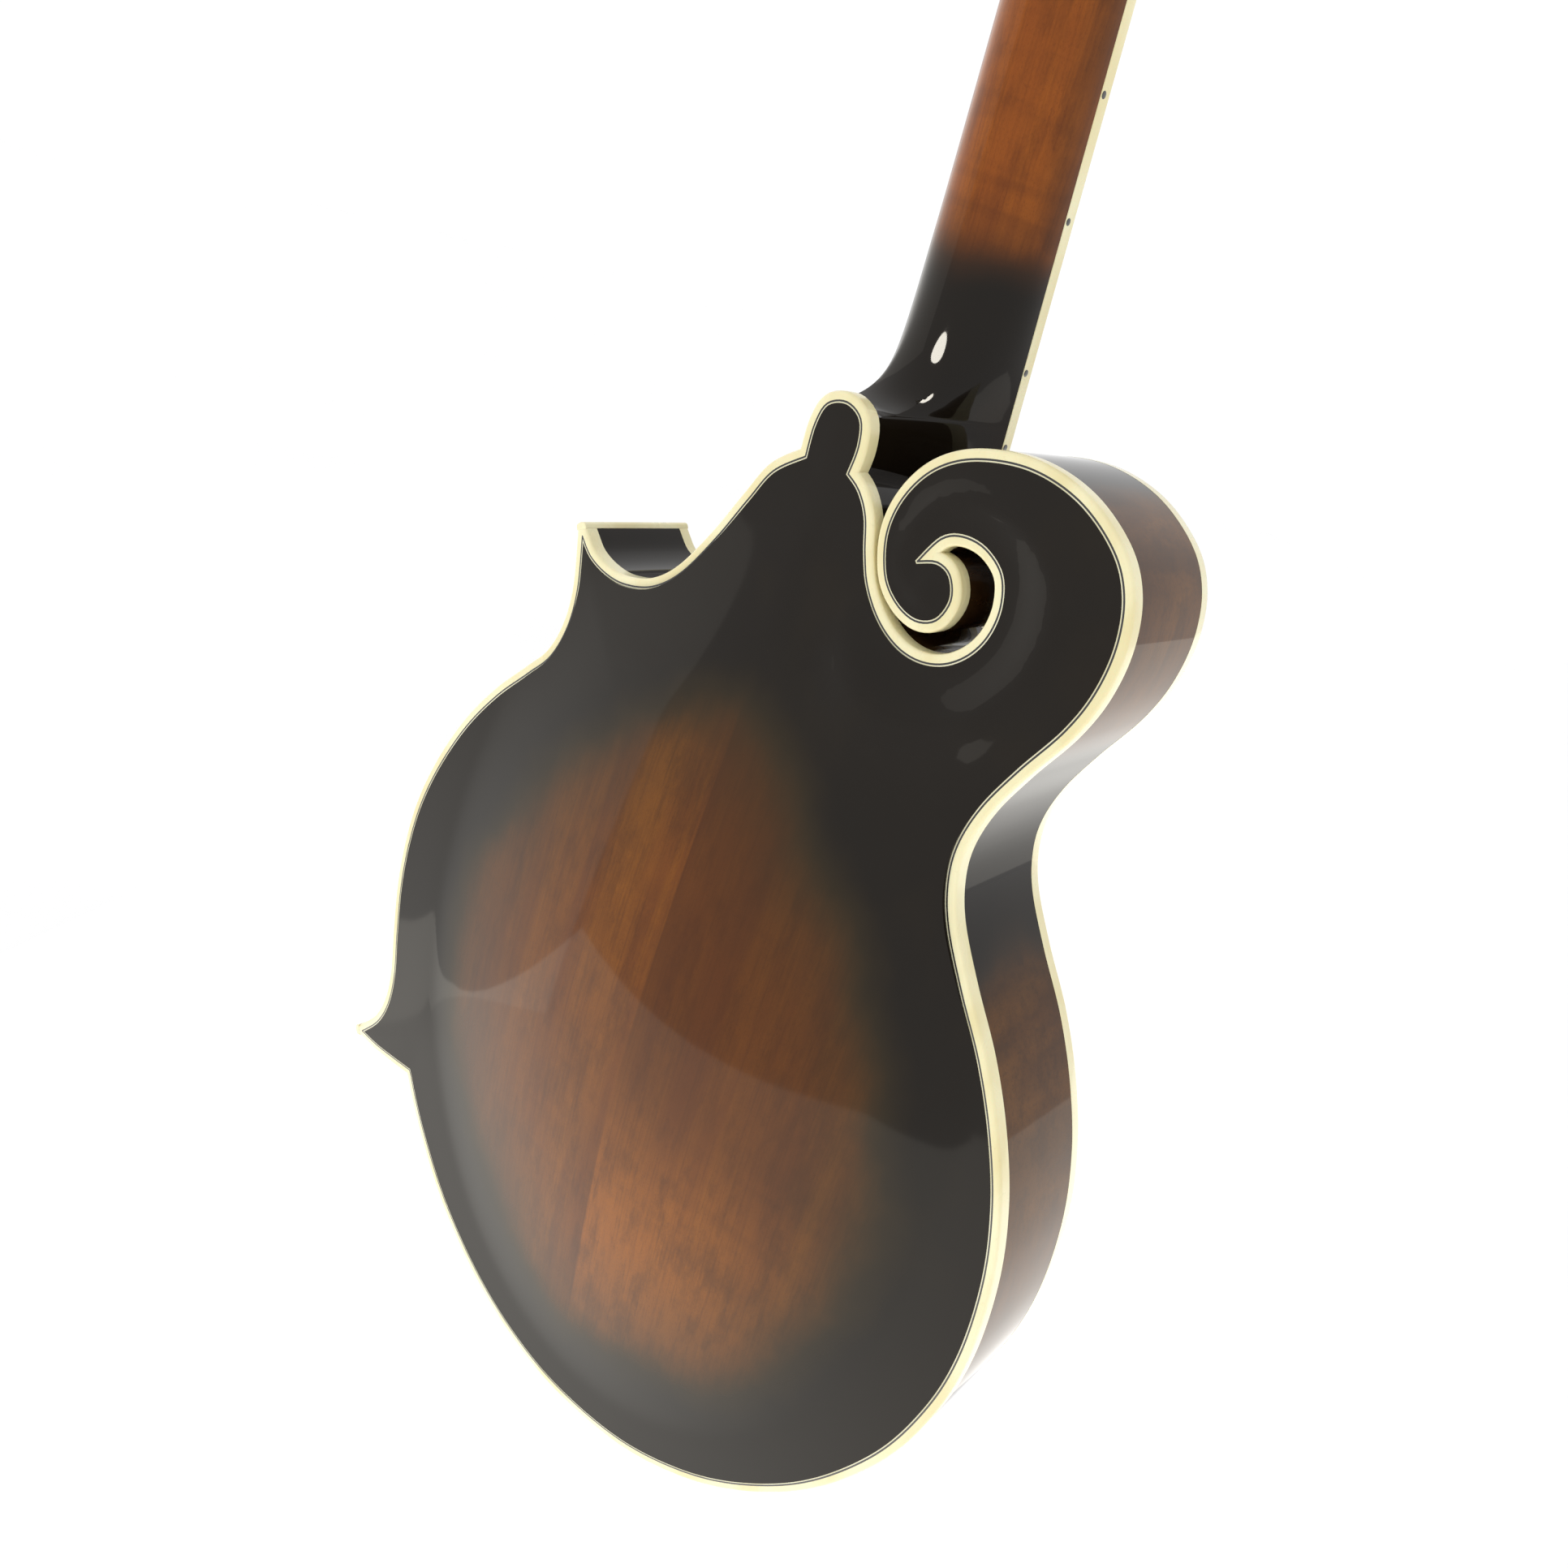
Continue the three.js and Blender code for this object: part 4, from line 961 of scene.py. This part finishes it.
def make_markers():
    """Markers and side dots stand halfway between a fret and the one before it."""
    face = Solid()
    side = Solid()
    for fret in (3, 5, 7, 10, 12, 15, 17):
        z = NUT_AT - (fret_distance(fret) + fret_distance(fret - 1)) / 2
        for x in ((-5.5, 5.5) if fret == 12 else (0.0,)):
            face.add(prism(circle(x, z, 2.3), -0.04, 0.5), neck)
        for dz in ((-1.8, 1.8) if fret == 12 else (0.0,)):
            points, faces = lathe([(0.01, -0.4), (0.95, -0.4), (0.95, 0.05), (0.7, 0.1),
                                   (0.01, 0.12)], 20)
            r, out, across = points.T
            disc = np.stack([-board_half(z) - out, r + 3.0, across + z + dz], 1)
            side.add((disc, faces), neck)
    add_piece("face_markers", face.all(), shell)
    add_piece("side_dots", side.all(), (black[0], "ebony"))


def make_nut():
    xs = np.linspace(-NUT_HALF_WIDTH, NUT_HALF_WIDTH, 115)
    top = np.full(len(xs), -1.9)
    for x in NUT_PLACES:
        top = np.maximum(top, -1.2 - np.abs(xs - x) * 1.8 + 0.1)
    foot = [(NUT_HALF_WIDTH, BOARD_THICKNESS), (-NUT_HALF_WIDTH, BOARD_THICKNESS)]
    sections = [[(x, y + drop, z) for x, y in zip(xs, top)] + [(x, y, z) for x, y in foot]
                for z, drop in ((NUT_AT + 0.1, 0.0), (NUT_AT + 1.8, 0.05), (NUT_AT + 4.0, 0.7))]
    add_piece("nut", loft(sections), bone, neck, sharp=30)


neck_piece = make_neck()
make_fingerboard()
make_frets()
make_markers()
make_nut()

# ---------------------------------------------------------------- headstock and tuners


def make_headstock():
    inner = -HEADSTOCK_BINDING
    overlay = prism(outline(HEAD, inner - 0.03), 0.0, OVERLAY_THICKNESS)
    add_piece("headstock_overlay", overlay, ebony, head)
    rows = [(inner, 0.0), (-0.6, 0.0), (-0.25, 0.1), (-0.05, 0.3), (0.0, 0.6),
            (0.0, OVERLAY_THICKNESS), (inner, OVERLAY_THICKNESS)]
    add_piece("headstock_binding", band(HEAD, rows), cream, head, sharp=45)
    cover = smooth(mirrored([(0, 8), (6, 9), (7.8, 15), (6.4, 24), (3.2, 32)], (0, 36.5)),
                   0.8)[:-1]
    add_piece("truss_rod_cover", prism(cover, -1.5, -GLUE_GAP), ebony, head, bevel=0.3)
    inlay = Solid()
    for shape in (
        [(0, 84), (6, 95), (0, 112), (-6, 95)],
        [(3, 84), (10, 78), (14, 84), (9, 87)],
        [(-3, 84), (-9, 87), (-14, 84), (-10, 78)],
        [(0, 118), (3.4, 123), (0, 130), (-3.4, 123)],
    ):
        inlay.add(prism(shape, -0.04, 0.6))
    add_piece("headstock_inlay", inlay.all(), shell, head)


def make_post(row, number, x, z):
    profile = [(0.01, -POST_HEIGHT), (2.0, -POST_HEIGHT), (2.6, -POST_HEIGHT + 0.5), (2.6, -7.4),
               (2.35, -6.6), (2.1, -5.6), (2.2, -4.7), (2.8, -3.6), (3.0, -3.0), (3.0, GEAR_Y),
               (0.01, GEAR_Y)]
    boss = [(0.01, GEAR_Y + 2.5), (2.4, GEAR_Y + 2.5), (2.4, GEAR_Y + 3.4), (1.8, GEAR_Y + 3.9),
            (0.01, GEAR_Y + 4.0)]
    count = GEAR_TEETH * 4
    radius = np.where(np.arange(count) % 4 < 2, GEAR_RADIUS, GEAR_RADIUS - 0.7)
    solid = Solid()
    solid.add(lathe(profile, 28, x, z))
    solid.add(prism(circle(x, z, radius, count), GEAR_Y, GEAR_Y + GEAR_THICKNESS))
    solid.add(lathe(boss, 20, x, z))
    add_piece(f"tuner_post_{row}_{number}", solid.all(), nickel, head, f"post_{row}_{number}",
              sharp=35)


def make_knob(row, number, side, z):
    """A knob and its shaft, which lies along x on the axis of its worm."""
    name = f"tuner_knob_{row}_{number}"
    body = f"knob_{row}_{number}"

    def sideways(points):
        r, along, across = points.T
        return head(np.stack([side * along, WORM_Y + r, z + across], 1))

    shaft = [(0.01, TUNER_X - 7), (SHAFT_RADIUS, TUNER_X - 7), (SHAFT_RADIUS, TUNER_X - 4.2)]
    at = TUNER_X - 4.2
    while at < TUNER_X + 4.0:
        shaft += [(1.55, at), (WORM_RADIUS, at + 0.3), (WORM_RADIUS, at + 0.5), (1.55, at + 0.8)]
        at += 0.93
    shaft += [(SHAFT_RADIUS, TUNER_X + 4.4), (SHAFT_RADIUS, KNOB_START - 3.5),
              (2.3, KNOB_START - 3.2), (2.6, KNOB_START - 2.2), (2.3, KNOB_START - 1.2),
              (3.0, KNOB_START - 0.4), (3.0, KNOB_START + 0.6), (0.01, KNOB_START + 0.6)]
    add_piece(name + "_shaft", lathe(shaft, 24), nickel, sideways, body, sharp=35)
    profile = smooth([(0.01, 42), (4.6, 42.4), (6.3, 44.2), (7.0, 48), (6.5, 52.5), (4.6, 56.4),
                      (0.01, 58)], 0.9)
    knob = lathe([(max(r, 0.01), y) for r, y in profile], 40)
    knob[0][:, 0] *= KNOB_FLATNESS
    add_piece(name, knob, pearl, sideways, body, sharp=60)


def make_tuners():
    top = PLATE_Y + TUNER_PLATE
    screw = [(0.01, top), (1.7, top), (1.7, top + 0.3), (1.2, top + 0.8), (0.5, top + 0.95),
             (0.4, top + 0.7), (0.01, top + 0.7)]
    bushing = [(3.2, 0.2), (5.4, 0.2), (5.3, -0.6), (4.8, -0.9), (3.2, -1.0)]
    low_screws = FIRST_TUNER - WORM_OFFSET - 3.7
    high_screws = FIRST_TUNER + TUNER_PITCH * 3 + 5
    for side, row in ((-1, "bass"), (1, "treble")):
        screws = Solid()
        bushings = Solid()
        for i in range(TUNER_COUNT):
            x, z = side * TUNER_X, FIRST_TUNER + TUNER_PITCH * i
            make_post(row, i + 1, x, z)
            make_knob(row, i + 1, side, z - WORM_OFFSET)
            bushings.add(lathe(bushing, 32, x, z))
        for z in (low_screws, high_screws):
            for dx in (-4.5, 5.0):
                screws.add(lathe(screw, 20, side * (TUNER_X + dx), z))
        add_piece(f"tuner_screws_{row}", screws.all(), nickel, head, sharp=35)
        add_piece(f"post_bushings_{row}", bushings.all(), nickel, head, sharp=35)


make_headstock()
make_tuners()

# ---------------------------------------------------------------- bridge and tailpiece

string_at_bridge = neck([(0, -STRING_ACTION, (BRIDGE_Z - JOINT_Z) / math.cos(NECK_TILT))])[0]
SADDLE_TOP = string_at_bridge[1] + GLUE_GAP + 0.5
SADDLE_FOOT = SADDLE_TOP + SADDLE_HEIGHT
WHEEL_BACK = SADDLE_FOOT + WHEEL_GAP + WHEEL_THICKNESS
BASE_FRONT = WHEEL_BACK + SADDLE_TRAVEL_ROOM


def along_z(section, z0, z1):
    """A closed section in x and y, drawn out along z."""
    points, faces = prism(section, z0, z1)
    return points[:, [0, 2, 1]], faces


def make_bridge():
    xs = np.linspace(-58, 58, 59)
    arch = (TOP_ARCH - EDGE_RISE) * arch_share(xs, np.array(BRIDGE_Z)) + EDGE_RISE
    foot = list(zip(xs, -BODY_DEPTH - arch - 0.1))
    low = foot[0][1]
    crest = smooth(mirrored([(58, low - 2.2), (52, low - 4.2), (45, BASE_FRONT + 1.4),
                             (40, BASE_FRONT)], (0, BASE_FRONT)), 2.0)
    add_piece("bridge_base", along_z([*foot, *crest], BRIDGE_Z - 5.5, BRIDGE_Z + 5.5), ebony,
              bevel=0.7, sharp=35)
    xs = np.linspace(-30, 30, 241)
    notch = np.full(len(xs), 0.0)
    for x in BRIDGE_PLACES:
        notch = np.maximum(notch, 0.55 - np.abs(xs - x) * 1.3)
    crown = mirrored([(-50, SADDLE_TOP + 2.4), (-44, SADDLE_TOP + 1.2), (-36, SADDLE_TOP + 0.2)],
                     *zip(xs, SADDLE_TOP - 0.35 + notch))
    section = [*crown, (52, SADDLE_FOOT), (-52, SADDLE_FOOT)]
    add_piece("bridge_saddle", along_z(section, BRIDGE_Z - 3, BRIDGE_Z + 3), ebony,
              body="saddle", bevel=0.25, sharp=35)
    thread = [(0.01, SADDLE_FOOT - 2.9)]
    y = SADDLE_FOOT - 2.9
    while y < BASE_FRONT - 0.2:
        thread += [(1.75, y), (2.0, y + 0.2), (2.0, y + 0.3), (1.75, y + 0.5)]
        y += 0.55
    thread += [(1.75, BASE_FRONT + 1), (0.01, BASE_FRONT + 1)]
    knurl = np.where(np.arange(96) % 3 == 0, WHEEL_RADIUS - 0.3, WHEEL_RADIUS)
    for x, word in ((-WHEEL_X, "bass"), (WHEEL_X, "treble")):
        wheel = prism(circle(x, BRIDGE_Z, knurl, 96), WHEEL_BACK - WHEEL_THICKNESS, WHEEL_BACK,
                      [circle(x, BRIDGE_Z, 2.3, 24)])
        add_piece(f"bridge_wheel_{word}", wheel, brass, body=f"wheel_{word}", sharp=35)
        add_piece(f"bridge_post_{word}", lathe(thread, 24, x, BRIDGE_Z), brass, sharp=50)


def make_tailpiece():
    solid = Solid()
    solid.add(along_z([(-17, -BODY_DEPTH - 6.5), (17, -BODY_DEPTH - 6.5), (17, -BODY_DEPTH - 5),
                       (-17, -BODY_DEPTH - 5)], TAIL_OUT, 48))
    shape = smooth(mirrored([(17, -BODY_DEPTH - 6), (17, -30), (15.5, -18), (9, -11)],
                            (0, -9.5)), 1.5)
    solid.add(along_z(shape, TAIL_OUT, TAIL_BACK))
    for place_x in BRIDGE_PLACES:
        x, y = place_x * HOOK_SPREAD, -BODY_DEPTH - 6.4
        path = [(x, y, 43.5), (x, y - 1.5, 43.2), (x, y - 2.6, 43.0), (x, y - 3.6, 41.8)]
        solid.add(tube(smooth(path, 0.5), 0.7, 10))
    points, faces = lathe([(0.01, 0), (2.2, 0), (2.0, 0.6), (1.2, 1.1), (0.01, 1.3)], 24)
    for x in (-11, 11):
        solid.add((np.stack([x + points[:, 0], -BODY_DEPTH + 8 + points[:, 2],
                             TAIL_OUT - points[:, 1]], 1), faces))
    add_piece("tailpiece_base", solid.all(), nickel, sharp=35, bevel=0.25)

    def channel(inset):
        """The cover's open section, set in from its outer face."""
        half, front, r = 20 - inset, -BODY_DEPTH - 16 + inset, 5.0 - inset
        arc = [(-half + r - r * math.cos(a), front + r - r * math.sin(a))
               for a in np.linspace(0, math.pi / 2, 9)]
        return mirrored([(-half, -BODY_DEPTH - 7), *arc])

    cover = along_z(channel(0.0) + channel(1.3)[::-1], TAIL_OUT, TAIL_OUT + 54)
    add_piece("tailpiece_cover", cover, nickel, body="cover", sharp=35, bevel=0.4)


def make_end_pin():
    profile = smooth([(0.01, TAIL_OUT - 14), (4.6, TAIL_OUT - 13.9), (6.9, TAIL_OUT - 13.1),
                      (7.5, TAIL_OUT - 11.8), (6.6, TAIL_OUT - 10), (5.1, TAIL_OUT - 8),
                      (4.9, TAIL_OUT - 5), (5.5, TAIL_OUT - 2.4), (6.5, TAIL_OUT - 0.2)], 0.7)
    rows = [(max(r, 0.01), z) for r, z in profile]
    points, faces = lathe([*rows, (4.0, TAIL_OUT - 0.1), (4.0, 10), (0.01, 10)], 40)
    placed = np.stack([points[:, 0], END_PIN_Y + points[:, 2], points[:, 1]], 1)
    add_piece("end_pin", (placed, faces), nickel, sharp=50)


make_bridge()
make_tailpiece()
make_end_pin()

# ---------------------------------------------------------------- strings


def make_string(letter, radius, side, tuner, course, pair):
    """A string from its hook over bridge and nut to its post, and its winding there."""
    lean = -1 if pair == 0 else 1
    look = wound if letter in "gd" else steel
    row = "bass" if side < 0 else "treble"
    name = f"string_{letter}_{pair + 1}"
    bridge_x = BRIDGE_PLACES[2 * course + pair]
    number = tuner if lean * side > 0 else tuner + 1
    post_x, post_z = side * TUNER_X, FIRST_TUNER + TUNER_PITCH * (number - 1)
    reach = 2.25 + radius
    corners = [
        np.array((bridge_x * HOOK_SPREAD, -BODY_DEPTH - 9, 44)),
        np.array((bridge_x, string_at_bridge[1] - radius, BRIDGE_Z)),
        neck([(NUT_PLACES[2 * course + pair], -1.9 - radius, NUT_AT + 1.5)])[0],
        head([(post_x - side * reach, WINDING_Y, post_z)])[0],
    ]
    path = []
    for a, b in zip(corners, corners[1:]):
        path += [a + (b - a) * t for t in np.linspace(0, 1, 24)[:-1]]
    path.append(corners[-1])
    add_piece(name, tube(path, radius, 12), look, sharp=60)
    t = np.linspace(0, WINDING_TURNS, int(WINDING_TURNS * 26))
    angle = (math.pi if side > 0 else 0.0) + side * 2 * math.pi * t
    spiral = np.stack([post_x + reach * np.cos(angle), WINDING_Y + t * 2.1 * radius,
                       post_z + reach * np.sin(angle)], 1)
    add_piece(f"{name}_winding", tube(head(spiral), radius, 10), look,
              body=f"post_{row}_{number}", sharp=60)


for course, (letter, radius, side, tuner) in enumerate(COURSES):
    for pair in (0, 1):
        make_string(letter, radius, side, tuner, course, pair)

# ---------------------------------------------------------------- kept CAD nodes

for look, nodes in (
    (raw, ("head_block", "tail_block", "back_lining_bass", "back_lining_treble",
           "top_lining_bass", "top_lining_treble", "tone_bar_bass", "tone_bar_treble")),
    (steel[0], ("truss_rod",)),
    (nickel[0], ("tuner_plate_bass", "tuner_plate_treble")),
):
    for node in nodes:
        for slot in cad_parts[node].material_slots:
            slot.material = look

# ---------------------------------------------------------------- camera, floor and light


def make_camera():
    data = bpy.data.cameras.new("camera")
    data.sensor_width = 36.0
    data.lens = CAMERA_LENS
    data.shift_x, data.shift_y = CAMERA_SHIFT
    data.clip_start = 0.01
    camera = add_object("camera", data)
    away = Vector((math.sin(CAMERA_TURN) * math.cos(CAMERA_RISE),
                   -math.cos(CAMERA_TURN) * math.cos(CAMERA_RISE),
                   math.sin(CAMERA_RISE))).normalized()
    right = (-away).cross(Vector((0, 0, 1))).normalized()
    up = right.cross(-away)
    c, s = math.cos(CAMERA_ROLL), math.sin(CAMERA_ROLL)
    axes = Matrix((right * c + up * s, up * c - right * s, away)).transposed().to_4x4()
    camera.matrix_world = Matrix.Translation(Vector(CAMERA_PLACE)) @ axes
    bpy.context.scene.camera = camera


def add_panel(name, centre, turn, tilt, lean, width, height, brightness):
    """A soft rectangular light. brightness is the radiance of its face, angles are degrees."""
    data = bpy.data.lights.new(name, "AREA")
    data.shape = "RECTANGLE"
    data.size = width
    data.size_y = height
    data.energy = brightness * math.pi * width * height
    data.color = WARM_WHITE
    light = add_object(name, data)
    light.matrix_world = (Matrix.Translation(Vector(centre))
                          @ Matrix.Rotation(math.radians(turn), 4, "Z")
                          @ Matrix.Rotation(math.radians(tilt), 4, "X")
                          @ Matrix.Rotation(math.radians(lean), 4, "Z"))
    return light


def make_floor():
    data = bpy.data.meshes.new("floor")
    corners = [(x * FLOOR_REACH, y * FLOOR_REACH, FLOOR_LEVEL)
               for x, y in ((-1, -1), (1, -1), (1, 1), (-1, 1))]
    data.from_pydata(corners, [], [(0, 1, 2, 3)])
    floor = add_object("floor", data)
    g = Graph("pale_floor", Roughness=0.9, Specular_IOR_Level=0.1)
    speck = g.noise((3, 3, 3), detail=4.0)
    g.set("Base Color", g.patches(speck, 0.3, 0.7, srgb(254, 254, 254), srgb(251, 251, 251)))
    data.materials.append(g.material)


def make_world():
    world = bpy.data.worlds.new("studio")
    bpy.context.scene.world = world
    world.use_nodes = True
    light = world.node_tree.nodes["Background"]
    light.inputs["Color"].default_value = (1, 1, 1, 1)
    light.inputs["Strength"].default_value = WORLD_BRIGHTNESS


def make_lights():
    """Panels for the soft reflections on the back and the rim, and two glints on the heel."""
    add_panel("side_panel", (1.046, -0.092, -0.179), 110, 105, -24, 1.8, 1.9, 0.5)
    add_panel("low_panel", (-0.346, 0.324, PANEL_LEVEL), -17, 180, 0, 2.0, 1.3, 0.9)
    receivers = bpy.data.collections.new("glint_receivers")
    receivers.objects.link(neck_piece)
    for name, centre, turn, tilt, width in (("glint", (0.14, 1.35, 0.3), 174, 72, 0.5),
                                            ("high_glint", (-1.05, 0.0, 0.7), -90, 52, 0.4)):
        glint = add_panel(name, centre, turn, tilt, 0, width, GLINT_HEIGHT, GLINT_BRIGHTNESS)
        glint.data.shape = "ELLIPSE"
        glint.visible_diffuse = False
        glint.light_linking.receiver_collection = receivers
    rim_panel = add_panel("rim_panel", (-1.6, -2.11, PANEL_LEVEL), -37, 180, 0, 4.5, 4.4, 0.65)
    rim_panel.visible_diffuse = False


make_camera()
make_floor()
make_world()
make_lights()
bpy.context.scene.view_settings.view_transform = "Standard"
